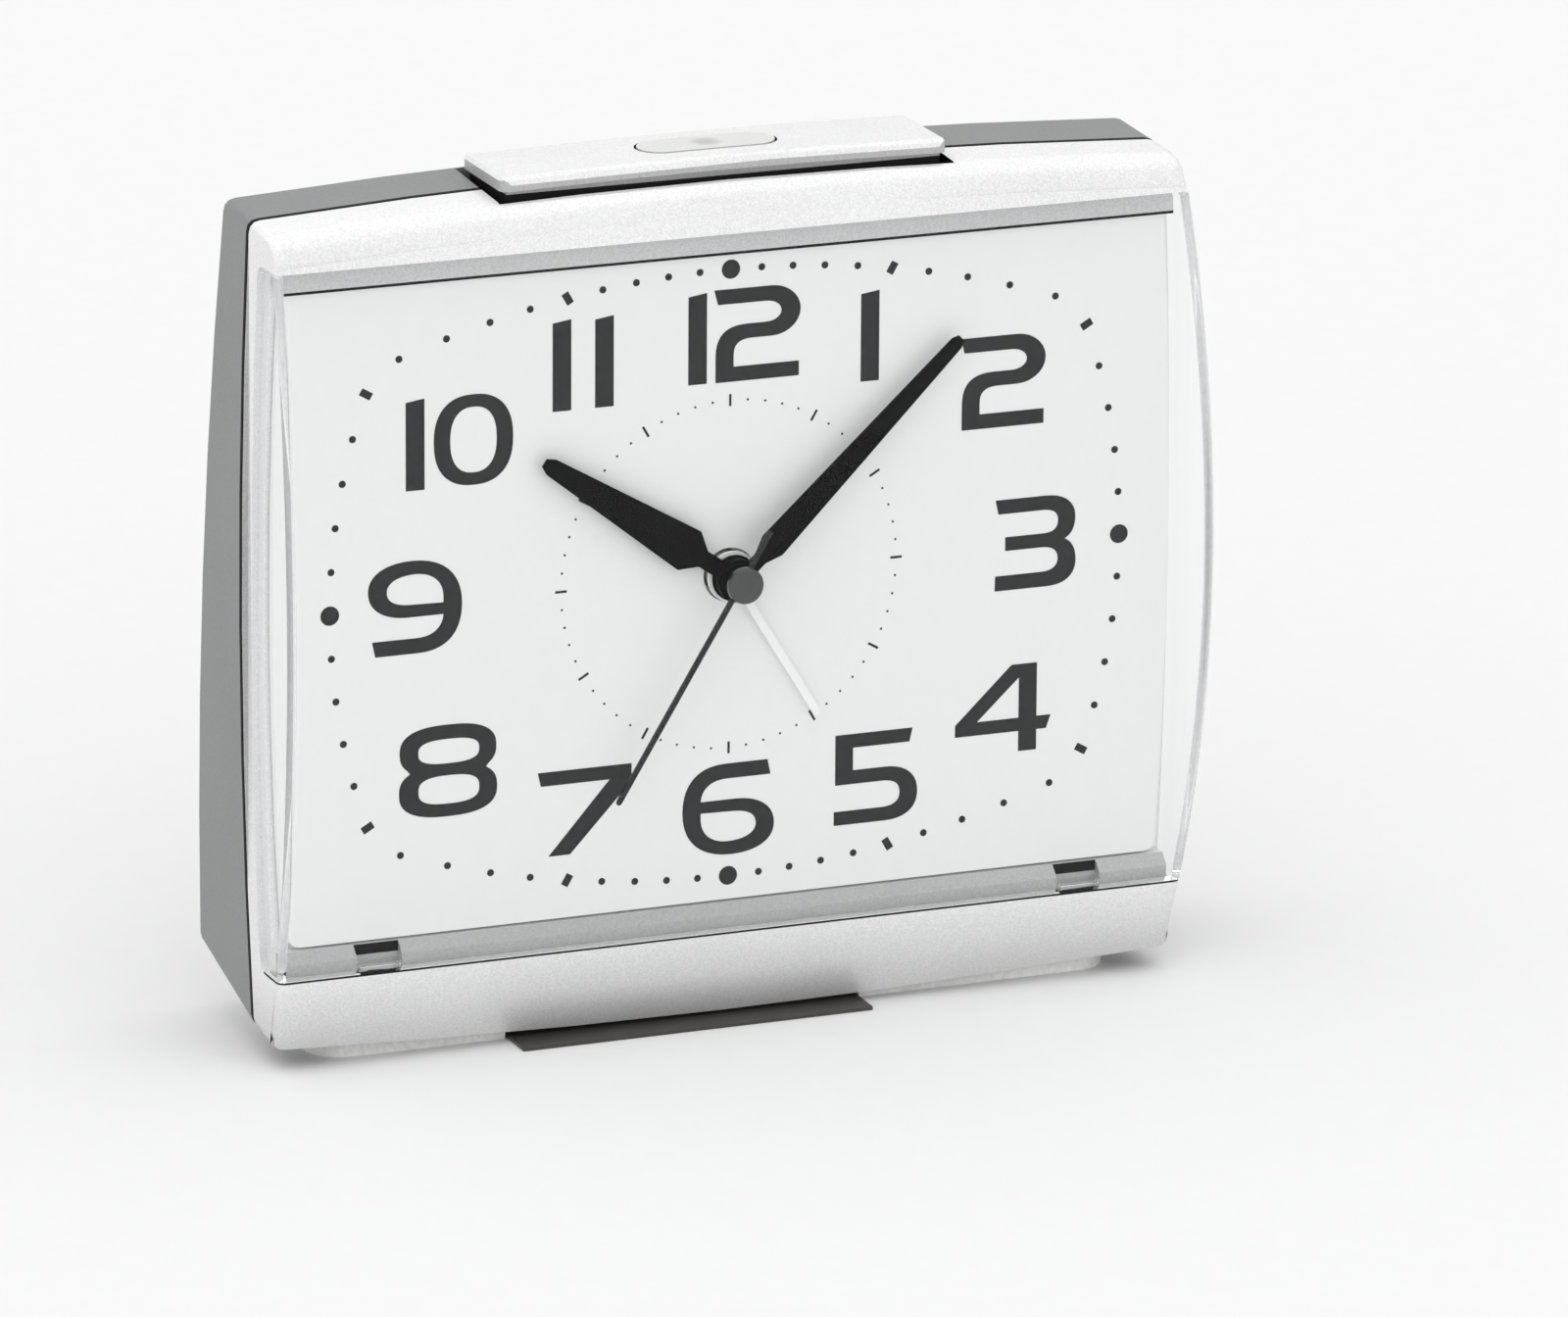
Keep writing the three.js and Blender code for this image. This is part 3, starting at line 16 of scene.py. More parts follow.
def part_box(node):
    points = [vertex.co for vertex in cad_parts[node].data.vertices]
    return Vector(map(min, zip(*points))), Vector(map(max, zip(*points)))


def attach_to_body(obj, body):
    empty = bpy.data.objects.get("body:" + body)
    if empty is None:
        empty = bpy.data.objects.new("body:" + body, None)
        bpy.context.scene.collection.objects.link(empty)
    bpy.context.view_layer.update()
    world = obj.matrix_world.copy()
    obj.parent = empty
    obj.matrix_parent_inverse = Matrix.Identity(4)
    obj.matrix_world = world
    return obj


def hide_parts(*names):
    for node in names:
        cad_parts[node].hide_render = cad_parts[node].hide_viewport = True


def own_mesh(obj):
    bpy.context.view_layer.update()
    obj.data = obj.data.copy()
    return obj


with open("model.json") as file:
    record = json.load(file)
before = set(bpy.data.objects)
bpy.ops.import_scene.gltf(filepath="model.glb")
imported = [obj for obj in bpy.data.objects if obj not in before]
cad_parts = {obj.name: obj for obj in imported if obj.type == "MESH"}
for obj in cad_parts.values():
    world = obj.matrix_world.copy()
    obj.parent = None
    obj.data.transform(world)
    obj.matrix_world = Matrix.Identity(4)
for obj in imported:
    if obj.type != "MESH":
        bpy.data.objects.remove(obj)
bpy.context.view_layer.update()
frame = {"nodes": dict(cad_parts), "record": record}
nodes = frame["nodes"]
print("pieces in the frame:", len(nodes))

# %% [markdown]
# Places on the clock
#
# A clockmaker measures from the dial. Depths here are counted from its front face, heights from the table,
# and places on the dial from the hands' axis, all in millimetres. Two short helpers turn them into metres,
# and two more give the curves that several pieces share: the bowed sides and the rounded front.

# %% Measures
MM = 0.001
AXIS = 57.05  # height of the hands' axis
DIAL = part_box("dial_plate")[0].y / MM  # the dial's front face, in the frame
SIDE_END, SIDE_BOW = 59.3, 1.25  # half the width of the case at its ends, and how far its sides bow out
SIDE_MIDDLE, SIDE_REACH = 54.3, 50.7  # height where the case is widest, and from there to its ends
NOSE_RADIUS, NOSE_DEPTH, NOSE_HEIGHT = 146, 136, 56.05  # radius and centre of the front's cylinder


def place(x, depth, height):
    return Vector((x, depth + DIAL, height)) * MM


def on_dial(x, z, depth=0.0):
    return place(x, depth, AXIS + z)


def case_side(height):
    """Half the width of the case, which bows out at the sides."""
    return SIDE_END + SIDE_BOW * (1 - ((height - SIDE_MIDDLE) / SIDE_REACH) ** 2)


def nose_face(height):
    """Depth of the rounded front, part of a large cylinder."""
    return NOSE_DEPTH - math.sqrt(NOSE_RADIUS ** 2 - (height - NOSE_HEIGHT) ** 2)


print("dial face at", round(DIAL, 3), "mm, lens front", round(-nose_face(AXIS), 2), "mm before it")

# %% [markdown]
# Camera
#
# A long lens, far away and a little above the clock, keeps its edges nearly parallel. The camera stands to
# the left, so that the grey side of the case shows. Its axes are worked out from three angles, which is
# easier to correct than a rotation found by trial.

# %% Camera
turn, rise, roll = (math.radians(a) for a in (22.09, 16.35, 0.38))
across = Vector((math.cos(turn), -math.sin(turn), 0))
up = Vector((math.sin(turn) * math.sin(rise), math.cos(turn) * math.sin(rise), math.cos(rise)))
back = Vector((-math.sin(turn) * math.cos(rise), -math.cos(turn) * math.cos(rise), math.sin(rise)))
right = math.cos(roll) * across + math.sin(roll) * up
above = math.cos(roll) * up - math.sin(roll) * across
bpy.ops.object.camera_add()
camera = bpy.context.object
camera.name = "portrait_camera"
camera.data.lens = 271.73
camera.data.sensor_width = 36
camera.data.clip_end = 50
DISTANCE, ASIDE, BELOW = 1444, 6.735, 10.304  # from the hands' axis, along the camera's own axes
stand = on_dial(0, 0) + (DISTANCE * back + ASIDE * right - BELOW * above) * MM
camera.matrix_world = Matrix.Translation(stand) @ Matrix((right, above, back)).transposed().to_4x4()
bpy.context.scene.camera = camera
bpy.context.scene.view_settings.view_transform = "Standard"
print("camera at", [round(v, 3) for v in stand])

# %% [markdown]
# Shader sums
#
# Finishes are written as sums. One small class wraps the output of a shader node: adding or multiplying
# two of them adds a Math node, and one method makes any other node. That keeps each finish to a few lines
# that read like a recipe.


# %% A socket that can be added and multiplied
class Wire:
    """An output of one shader node."""

    def __init__(self, tree, socket=None):
        self.tree, self.socket = tree, socket

    def node(self, kind, settings=None, sockets=None, out=0):
        made = self.tree.nodes.new("ShaderNode" + kind)
        for name, value in (settings or {}).items():
            if name == "stops":
                for at, _ in value[2:]:
                    made.color_ramp.elements.new(at)
                for element, (at, shade) in zip(made.color_ramp.elements, sorted(value)):
                    element.position, element.color = at, (*shade, 1) if len(shade) == 3 else shade
            else:
                setattr(made, name, value)
        for name, value in (sockets or {}).items():
            feed(self.tree, made.inputs[name], value)
        return Wire(self.tree, made.outputs[out])

    def sum(self, operation, *values):
        return self.node("Math", {"operation": operation}, dict(enumerate(values)))

    def __add__(self, other):
        return self.sum("ADD", self, other)

    def __sub__(self, other):
        return self.sum("SUBTRACT", self, other)

    def __rsub__(self, other):
        return self.sum("SUBTRACT", other, self)

    def __mul__(self, other):
        return self.sum("MULTIPLY", self, other)

    __radd__, __rmul__ = __add__, __mul__

    def between(self, low, high):
        """0 below low, 1 above high, and a straight slope between them."""
        return self.node("MapRange", None, {"Value": self, "From Min": low, "From Max": high})

    def blend(self, first, second):
        return self.node("Mix", {"data_type": "RGBA"}, {0: self, 6: first, 7: second}, out=2)


def feed(tree, target, value):
    """Leads a wire into a socket, or writes a colour or a number on it."""
    if isinstance(value, Wire):
        tree.links.new(value.socket, target)
    elif hasattr(target.default_value, "__len__") and len(target.default_value) == 4:
        target.default_value = (*value, 1) if len(value) == 3 else value
    else:
        target.default_value = value


finishes = {}


def new_finish(name):
    """A material with one Principled shader, listed by its name, and the wire that starts its recipe."""
    finish = finishes[name] = bpy.data.materials.new(name)
    finish.use_nodes = True
    return finish, Wire(finish.node_tree)


def settle(finish, **sockets):
    """Sets the Principled shader's sockets, given by name with _ for a space."""
    shader = finish.node_tree.nodes["Principled BSDF"]
    for name, value in sockets.items():
        feed(finish.node_tree, shader.inputs[name.replace("_", " ")], value)
    return finish


def position(start):
    """Object coordinates: every finished piece sits at the origin, so these are places on the clock."""
    return start.node("TexCoord", out=3)


def grain(start, size, detail=2.0, stretch=(1, 1, 1)):
    """Noise from 0 to 1 whose lumps are about size millimetres wide."""
    at = start.node("Mapping", None, {"Vector": position(start), "Scale": stretch})
    return start.node("TexNoise", None, {"Vector": at, "Scale": 0.5 / (size * MM), "Detail": detail})


def relief(start, height, depth):
    """A bump of that depth in millimetres where height runs from 0 to 1."""
    return start.node("Bump", None, {"Height": height, "Distance": depth * MM, "Strength": 1.0})


print("shader sums are ready")

# %% [markdown]
# Moulded plastics
#
# The rear case is grey plastic straight from the mould. Such a mould is spark-eroded, so the surface has a
# fine even grain that breaks up reflections. The colour drifts very slightly, and the raised grain is painted
# a little paler, a painted highlight. The black and white plastics of the small pieces are the same recipe in
# other shades.


# %% Plastic finishes
def moulded(name, colour, rough, grain_size, grain_depth, gloss=0.5):
    finish, start = new_finish(name)
    fine = grain(start, grain_size, 3)
    wide = grain(start, 14, 2)
    darker, paler = (tuple(c * share for c in colour) for share in (0.8, 1.06))
    # The fine grain that raises the bump also paints the colour paler: a painted highlight on raised grain.
    shade = (0.6 * fine + 0.4 * wide).between(0.3, 0.7).blend(darker, paler)
    return settle(finish, Base_Color=shade, Roughness=rough + 0.16 * (fine - 0.5) + 0.08 * (wide - 0.5),
                  Normal=relief(start, fine, grain_depth), Specular_IOR_Level=gloss)


moulded("grey_plastic", (0.262, 0.264, 0.268), 0.5, 0.22, 0.012, 0.35)
moulded("pale_plastic", (0.90, 0.90, 0.89), 0.5, 0.3, 0.01)
moulded("black_plastic", (0.022, 0.022, 0.024), 0.36, 0.25, 0.006, 0.32)
moulded("white_resin", (0.78, 0.77, 0.73), 0.38, 0.4, 0.004)
print("plastics:", sorted(finishes))

# %% [markdown]
# Silver paint
#
# The bezel and the snooze bar are sprayed with silver paint: small aluminium flakes under a thin clear coat.
# Seen close, single flakes glint. Cells of about a sixth of a millimetre stand for the flakes, each with its
# own tilt and its own painted brightness, a painted glint, and the clear coat lies over them. Toward the
# lower edge the colour is darkened, a painted shade. Two darker coats, also painted shade, serve the shelf,
# the brow and the snooze bar's sides.

# %% Silver finish
FLAKE = 0.16  # size of a flake
LOW_SHADE, LOW_SHADE_FROM, LOW_SHADE_TO = 0.78, 3.6, 11.5  # share of brightness kept by the painted shade low down, and the heights over which it fades


def flake_paint(name, dark, light):
    finish, start = new_finish(name)
    cells = {"Vector": position(start), "Scale": 1 / (FLAKE * MM)}
    flake = start.node("TexVoronoi", {"feature": "F1"}, cells, out=1)
    glint = start.node("SeparateColor", None, {"Color": flake}).between(0.0, 1.0)
    drift = grain(start, 9, 2)
    height = start.node("SeparateXYZ", None, {0: position(start)}, out=2)
    # Painted glint: each flake's brightness goes into the colour; the drift is random tone.
    level = 0.7 * glint + 0.3 * drift

    def paint(share):
        return level.blend(*[(share * c, share * c, min(1.0, share * c * 1.005)) for c in (dark, light)])

    # Painted shade: the colour darkens toward the lower edge of the bezel.
    unshaded = height.between(LOW_SHADE_FROM * MM, LOW_SHADE_TO * MM)
    return settle(finish, Base_Color=unshaded.blend(paint(LOW_SHADE), paint(1.0)), Metallic=0.18 + 0.16 * glint,
                  Roughness=0.3 + 0.16 * glint + 0.06 * drift, Normal=relief(start, glint, 0.0035),
                  Coat_Weight=0.25, Coat_Roughness=0.12)


flake_paint("silver_paint", 0.70, 0.93)
# Two darker copies of the silver, painted shade for the shelf, the brow and the snooze bar's sides.
shade_silver = flake_paint("shade_silver", 0.39, 0.54)
brow_shade_silver = flake_paint("brow_shade_silver", 0.50, 0.68)
print("silver paint with flakes of", FLAKE, "mm")

# %% [markdown]
# Clear acrylic
#
# The lens cover is one thin moulding of clear acrylic. Glass in Blender bends the light of the camera's rays,
# which gives the bright lines along its edges, but it would keep the lamps from the dial. A Light Path node
# lets the lamps and the scattered light pass straight through, as they nearly do in a thin wall. A ray that
# keeps bouncing inside the sheet passes on as well, because it would end as a black line.

# %% Clear finish
MOST_BOUNCES = 4
acrylic, start = new_finish("clear_acrylic")
settle(acrylic, Base_Color=(0.985, 0.99, 0.99), Transmission_Weight=1.0, Roughness=0.0, IOR=1.15)
tree = acrylic.node_tree
lamp_ray, soft_ray, bounces = (start.node("LightPath", out=name)
                               for name in ("Is Shadow Ray", "Is Diffuse Ray", "Ray Depth"))
trapped = bounces.sum("GREATER_THAN", bounces, MOST_BOUNCES + 0.5)
passing = trapped.sum("MAXIMUM", trapped, lamp_ray.sum("MAXIMUM", lamp_ray, soft_ray))
open_air = start.node("BsdfTransparent", None, {"Color": (0.97, 0.975, 0.975)})
body = Wire(tree, tree.nodes["Principled BSDF"].outputs[0])
mixed = start.node("MixShader", None, {0: passing, 1: body, 2: open_air})
feed(tree, tree.nodes["Material Output"].inputs["Surface"], mixed)
print("clear acrylic lets the lamps through")

# %% [markdown]
# Dial and print
#
# The dial is a plate sprayed satin white and then screen printed in a dark grey ink. The white has a soft
# orange peel from the spray gun. The ink dries a little rough, with tiny pinholes of lighter tone.

# %% Dial white, ink and hand lacquers
dial_white, start = new_finish("dial_white")
peel = grain(start, 1.1, 2)
speck = grain(start, 0.12, 2)
settle(dial_white, Base_Color=(0.5 * peel + 0.5 * speck).blend((0.855, 0.855, 0.85), (0.895, 0.895, 0.89)),
       Roughness=0.42 + 0.12 * (peel - 0.5), Normal=relief(start, peel, 0.004))

ink, start = new_finish("dial_ink")
mesh_mark = grain(start, 0.18, 3)
settle(ink, Base_Color=mesh_mark.between(0.35, 0.75).blend((0.028, 0.028, 0.029), (0.046, 0.046, 0.047)),
       Roughness=0.55 + 0.2 * (mesh_mark - 0.5), Normal=relief(start, mesh_mark, 0.002),
       Specular_IOR_Level=0.15)


def lacquer(name, dark, light, rough, gloss):
    finish, start = new_finish(name)
    peel = grain(start, 0.5, 2)
    brushed = grain(start, 0.15, 2)
    shade = (0.5 * peel + 0.5 * brushed).blend(dark, light)
    return settle(finish, Base_Color=shade, Roughness=rough + 0.1 * peel, Normal=relief(start, peel, 0.002),
                  Specular_IOR_Level=gloss)


lacquer("hand_black", (0.004, 0.004, 0.0042), (0.008, 0.008, 0.0083), 0.45, 0.06)
lacquer("hand_white", (0.90, 0.90, 0.895), (0.95, 0.95, 0.945), 0.35, 0.5)
print("dial white, ink and lacquers")

# %% [markdown]
# Metals
#
# Springs, contacts and screws are drawn or stamped steel, the wheels on the minute arbor are cut from brass,
# and the coil is wound from lacquered copper wire. Metal is told apart by its colour and by the direction of
# its scratches, so each metal gets noise that is stretched along the way it was worked.


# %% Metal finishes
def worked_metal(name, dark, light, rough, stretch, scratch=0.0015):
    finish, start = new_finish(name)
    lines = grain(start, 0.3, 3, stretch)
    patina = grain(start, 2.5, 3)
    shade = (0.55 * lines + 0.45 * patina).between(0.25, 0.75).blend(dark, light)
    return settle(finish, Base_Color=shade, Metallic=1.0, Roughness=rough + 0.18 * (patina - 0.5),
                  Normal=relief(start, lines, scratch))


worked_metal("steel", (0.50, 0.51, 0.53), (0.68, 0.69, 0.70), 0.3, (1, 1, 0.08))
worked_metal("brass", (0.56, 0.39, 0.13), (0.72, 0.53, 0.22), 0.26, (0.1, 1, 1))
worked_metal("magnet", (0.06, 0.06, 0.065), (0.12, 0.12, 0.125), 0.45, (1, 1, 1), 0.003)

WIRE_PITCH = 0.28  # from one turn of the coil to the next
copper, start = new_finish("copper_wire")
winding = {"Vector": position(start), "Scale": 0.314 / (WIRE_PITCH * MM), "Distortion": 0.6, "Detail": 1.0}
turns = start.node("TexWave", {"bands_direction": "X", "wave_profile": "SIN"}, winding)
settle(copper, Base_Color=turns.blend((0.24, 0.075, 0.03), (0.62, 0.27, 0.12)), Metallic=0.8,
       Roughness=0.42 - 0.16 * turns, Normal=relief(start, turns, 0.05))
print("metals:", ["steel", "brass", "magnet", "copper_wire"])

# %% [markdown]
# Smoke plate, window, boards and cell
#
# The thin plate under the front is smoke-brown film, the snooze bar's window is milky resin with the lamp
# behind it painted on as a faint grey spot of shade, the boards are green solder mask over copper tracks, and
# the cell wears a printed sleeve. These are small, so each is a short recipe with the one mark that tells
# what it is.

# %% Remaining finishes
smoke, start = new_finish("smoke_plastic")
cloud = grain(start, 3, 3)
rub = grain(start, 0.3, 2, (0.15, 1, 1))
settle(smoke, Base_Color=(0.7 * cloud + 0.3 * rub).blend((0.050, 0.048, 0.043), (0.074, 0.071, 0.064)),
       Roughness=0.36 + 0.18 * (rub - 0.5), Normal=relief(start, rub, 0.002), Specular_IOR_Level=0.25)

window_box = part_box("snooze_window")
lamp_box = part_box("snooze_lamp")
window_resin, start = new_finish("window_resin")
lamp_at = (lamp_box[0] + lamp_box[1]) / 2
lamp_at.z = window_box[1].z
from_lamp = start.node("VectorMath", {"operation": "DISTANCE"}, {0: position(start), 1: lamp_at}, out=1)
# Painted shade: a grey spot where the lamp stands behind the resin.
lamp_shadow_spot = 1 - from_lamp.between(0.9 * MM, 2.3 * MM)
milk = grain(start, 1.2, 2)
pale = milk.blend((0.72, 0.72, 0.71), (0.75, 0.75, 0.74))
settle(window_resin, Base_Color=(0.75 * lamp_shadow_spot).blend(pale, (0.38, 0.38, 0.38)), Roughness=0.22 + 0.1 * milk,
       Normal=relief(start, milk, 0.002), Coat_Weight=0.3)

board, start = new_finish("board_green")
tracks = start.node("TexBrick", {"offset": 0.5},
                    {"Vector": position(start), "Scale": 1 / (3.2 * MM), "Mortar Size": 0.06}, out=1)
weave = grain(start, 0.5, 2)
settle(board, Base_Color=(0.75 * tracks + 0.25 * weave).blend((0.012, 0.105, 0.045), (0.06, 0.24, 0.12)),
       Roughness=0.32 + 0.1 * weave, Normal=relief(start, tracks, 0.03), Coat_Weight=0.3)

cell, start = new_finish("cell_wrap")
low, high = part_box("battery_cell")
along = start.node("SeparateXYZ", None, {0: position(start)})
share = along.between(low.x, high.x)
bare_end, cap_end = (0.5, 0.51, 0.53), (0.62, 0.63, 0.65)
navy, amber = (0.035, 0.05, 0.075), (0.62, 0.36, 0.14)
bands = [(0.0, bare_end), (0.06, navy), (0.70, navy), (0.705, amber), (0.93, amber), (0.94, cap_end)]
sleeve = share.node("ValToRGB", {"stops": bands}, {0: share})
sleeve.socket.node.color_ramp.interpolation = "CONSTANT"
scuff = grain(start, 1.5, 3)
settle(cell, Base_Color=sleeve, Metallic=0.35, Roughness=0.28 + 0.16 * scuff,
       Normal=relief(start, scuff, 0.004))
print("finishes:", len(finishes))

# %% [markdown]
# A finish for every solid
#
# The record names a finish for each solid of the frame. Giving every one its finish first means that nothing
# is ever left plain, also inside the case, where the open battery bay shows the movement.

# %% Dress the frame
slot_of = {part["node"]: part["material_slot"] for part in frame["record"]["subparts"]}


def wear(piece, finish):
    piece.data.materials.clear()
    piece.data.materials.append(finish)


for name, solid in nodes.items():
    wear(solid, finishes[slot_of[name]])
print("dressed solids:", len(nodes))

# %% [markdown]
# Studio
#
# The clock stands on white paper that runs out of the picture. One broad lamp hangs overhead and a little
# behind, nearly as soft as an overcast sky: it brightens the top, and leaves the underside and the paper
# before it in shade. The room is paler before the clock and to its left, which keeps the dial bright, and
# glossy surfaces mirror a more even room.

# %% Floor and light
bpy.ops.object.select_all(action="DESELECT")
bpy.ops.mesh.primitive_plane_add(size=12)
floor = bpy.context.object
floor.name = "paper_floor"
paper, start = new_finish("white_paper")
fibre = grain(start, 2.0, 3)
white = fibre.blend((0.91, 0.91, 0.91), (0.93, 0.93, 0.93))
settle(paper, Base_Color=white, Roughness=0.8, Specular_IOR_Level=0.1)
wear(floor, paper)

world = bpy.data.worlds.new("studio")
bpy.context.scene.world = world
world.use_nodes = True
sky = world.node_tree.nodes["Background"]
start = Wire(world.node_tree)
way = start.node("TexCoord", out=0)
ahead = start.node("VectorMath", {"operation": "DOT_PRODUCT"}, {0: way, 1: (-0.45, -0.88, 0.12)}, out=1)
ahead = ahead.between(-0.7, 0.8)
lit = ahead.blend((0.3, 0.3, 0.3), (1.18, 1.18, 1.18))
mirrored = ahead.blend((0.85, 0.85, 0.85), (1.1, 1.1, 1.1))
tone = start.node("LightPath", out="Is Glossy Ray").blend(lit, mirrored)
feed(world.node_tree, sky.inputs["Color"], tone)

bpy.ops.object.light_add(type="SUN")
lamp = bpy.context.object
lamp.name = "overhead_softbox"
lamp.data.energy = 0.95
lamp.data.angle = math.radians(95)
toward = Vector((0.08, 0.34, 0.93)).normalized()
lamp.matrix_world = toward.to_track_quat("Z", "Y").to_matrix().to_4x4()
print("floor and light are set")

# %% [markdown]
# Softened edges
#
# A moulded or painted edge is never a knife edge. For pieces whose solid already has the right shape, a copy
# of its mesh is merged, its flat triangles are dissolved into clean faces, and a Bevel modifier rounds the
# edges. A Weighted Normal modifier then keeps the large faces flat in the reflections. The helpers for this
# also serve the pieces that are modelled by hand further on.


# %% Helpers for every piece
def activate(piece):
    bpy.ops.object.select_all(action="DESELECT")
    piece.select_set(True)
    bpy.context.view_layer.objects.active = piece


def apply_modifier(piece, kind, **settings):
    activate(piece)
    modifier = piece.modifiers.new(kind.lower(), kind)
    for name, value in settings.items():
        setattr(modifier, name, value)
    bpy.ops.object.modifier_apply(modifier=modifier.name)


def smooth(piece, sharp):
    """Smooth shading, except across edges with a larger angle than that."""
    activate(piece)
    bpy.ops.object.shade_smooth_by_angle(angle=math.radians(sharp))


def rounded(piece, width, steps, sharp=30):
    """Rounds the edges with a larger angle than that, by a width in millimetres."""
    apply_modifier(piece, "BEVEL", width=width * MM, segments=steps, limit_method="ANGLE",
                   angle_limit=math.radians(sharp))


def fixed(scale=(1, 1, 1)):
    """The shape that was added last, with its place, turn and scale written into its mesh."""
    piece = bpy.context.object
    piece.scale = scale
    bpy.ops.object.transform_apply(location=True, rotation=True, scale=True)
    return piece


def block(size, middle=(0, 0, 0), turned=0):
    """A box of a size in metres, turned about the depth axis."""
    bpy.ops.object.select_all(action="DESELECT")
    bpy.ops.mesh.primitive_cube_add(size=1, location=middle, rotation=(0, math.radians(turned), 0))
    return fixed(size)


def attach(piece, body, slot, finish=None, stands_for=()):
    wear(piece, finish or finishes[slot])
    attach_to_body(piece, body)
    if stands_for:
        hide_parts(*stands_for)


def pick(piece, wanted, kind="VERT"):
    """Selects the vertices, edges or faces that the test wants, in edit mode, and counts them."""
    bpy.ops.mesh.select_all(action="DESELECT")
    bpy.ops.mesh.select_mode(type=kind)
    bpy.ops.object.mode_set(mode="OBJECT")
    mesh = piece.data
    parts = {"VERT": mesh.vertices, "EDGE": mesh.edges, "FACE": mesh.polygons}[kind]
    count = 0
    for part in parts:
        if kind == "VERT":
            part.select = wanted(part.co / MM)
        else:
            part.select = wanted([mesh.vertices[i].co / MM for i in part.vertices])
        count += part.select
    bpy.ops.object.mode_set(mode="EDIT")
    return count


def face_outward():
    """Turns every face of the open mesh outward and leaves edit mode."""
    bpy.ops.mesh.select_all(action="SELECT")
    bpy.ops.mesh.normals_make_consistent(inside=False)
    bpy.ops.object.mode_set(mode="OBJECT")


def twin(mesh, name):
    """A new object with its own copy of a mesh."""
    piece = bpy.data.objects.new(name, mesh.copy())
    bpy.context.scene.collection.objects.link(piece)
    return piece


print("helpers are ready")

# %% Helper that softens a solid
MERGE = 0.002  # points that are closer than this become one


def merged(node, name):
    """A copy of a solid with its doubled points merged, left open in edit mode."""
    piece = twin(nodes[node].data, name)
    activate(piece)
    bpy.ops.object.mode_set(mode="EDIT")
    bpy.ops.mesh.select_all(action="SELECT")
    bpy.ops.mesh.remove_doubles(threshold=MERGE * MM)
    return piece


def softened(node, name, body, edge, sharp=32, flat=0.4, shape=None):
    """A copy of a solid, in whose place it stands, with roundings edge millimetres wide."""
    piece = merged(node, name)
    bpy.ops.mesh.dissolve_limited(angle_limit=math.radians(flat))
    if shape:
        shape(piece)
    bpy.ops.object.mode_set(mode="OBJECT")
    smooth(piece, sharp)
    rounded(piece, edge, 2, sharp)
    apply_modifier(piece, "WEIGHTED_NORMAL", keep_sharp=True, weight=80)
    attach(piece, body, slot_of[node], stands_for=(node,))
    print(name, len(piece.data.polygons), "faces")
    return piece


print("softening is ready")

# %% [markdown]
# Corners and dividing lines
#
# Three pieces take a step more. The upright front corners of the bezel are rounded further than its other
# edges, by Bevel in edit mode. Faces of bezel, case and snooze bar are cut with Bisect where a painted shadow
# line or a coat of painted shade begins, so that each side of the cut can have a finish of its own.

# %% Softened pieces
POCKET, POCKET_HALF = 46.2, 2.95  # middle of the pockets for the lens tabs, and half their width
POCKET_WALL, POCKET_SHADE = -0.3, 14.0  # depth of their back wall, and the height where its painted shade begins
BROW, BROW_SHADOW, BROW_FRONT = 97.55, 0.35, -1.1  # lower edge, painted shadow line above it, and depth of the front
SHELF_TOP = 15.7  # top of the shelf below the dial
SIDE_FACE, SIDE_BACK = 58.7, 7  # the bezel's side walls lie outside and before these
CORNER = 1.1  # rounding of its upright front corners
GROOVE_SHADE = 7.8  # the case is painted dark as shade up to this depth, by the joint
SKIRT, SKIRT_CUT = 106, 106.7  # faces of the snooze bar that reach below the first are cut at the second


def part_faces(piece, wanted, point, across):
    """Splits the wanted faces along a plane, so that each side can have its own finish."""
    count = pick(piece, wanted, "FACE")
    bpy.ops.mesh.bisect(plane_co=point, plane_no=across)
    return count


def shape_bezel(piece):
    def side_wall(face):
        return all(abs(v.x) > SIDE_FACE and v.y < DIAL + SIDE_BACK for v in face)

    def front_corner(edge):
        upright = abs(edge[0].z - edge[1].z) > 0.01 and edge[0].x * edge[1].x > 0
        return upright and all(abs(abs(v.x) - case_side(v.z)) < 0.2
                               and abs(v.y - DIAL - nose_face(v.z)) < 0.2 for v in edge)

    def brow_front(face):
        return min(v.z for v in face) < BROW + 0.1 and all(abs(v.y - DIAL - BROW_FRONT) < 0.02 for v in face)

    def pocket_wall(face):
        return all(abs(v.y - DIAL - POCKET_WALL) < 0.02 and v.z < SHELF_TOP + 0.1
                   and abs(abs(v.x) - POCKET) < POCKET_HALF + 0.1 for v in face)

    pick(piece, side_wall, "FACE")
    bpy.ops.mesh.dissolve_limited(angle_limit=math.radians(6))
    corners = pick(piece, front_corner, "EDGE")
    bpy.ops.mesh.bevel(offset=CORNER * MM, segments=4, affect="EDGES")
    brows = part_faces(piece, brow_front, place(0, 0, BROW + BROW_SHADOW), (0, 0, 1))
    walls = part_faces(piece, pocket_wall, place(0, 0, POCKET_SHADE), (0, 0, 1))
    print("bezel: corner edges", corners, "brow faces", brows, "pocket walls", walls)


def shape_case(piece):
    part_faces(piece, lambda f: True, place(0, GROOVE_SHADE, 0), (0, 1, 0))


def shape_bar(piece):
    part_faces(piece, lambda f: min(v.z for v in f) < SKIRT, place(0, 0, SKIRT_CUT), (0, 0, 1))


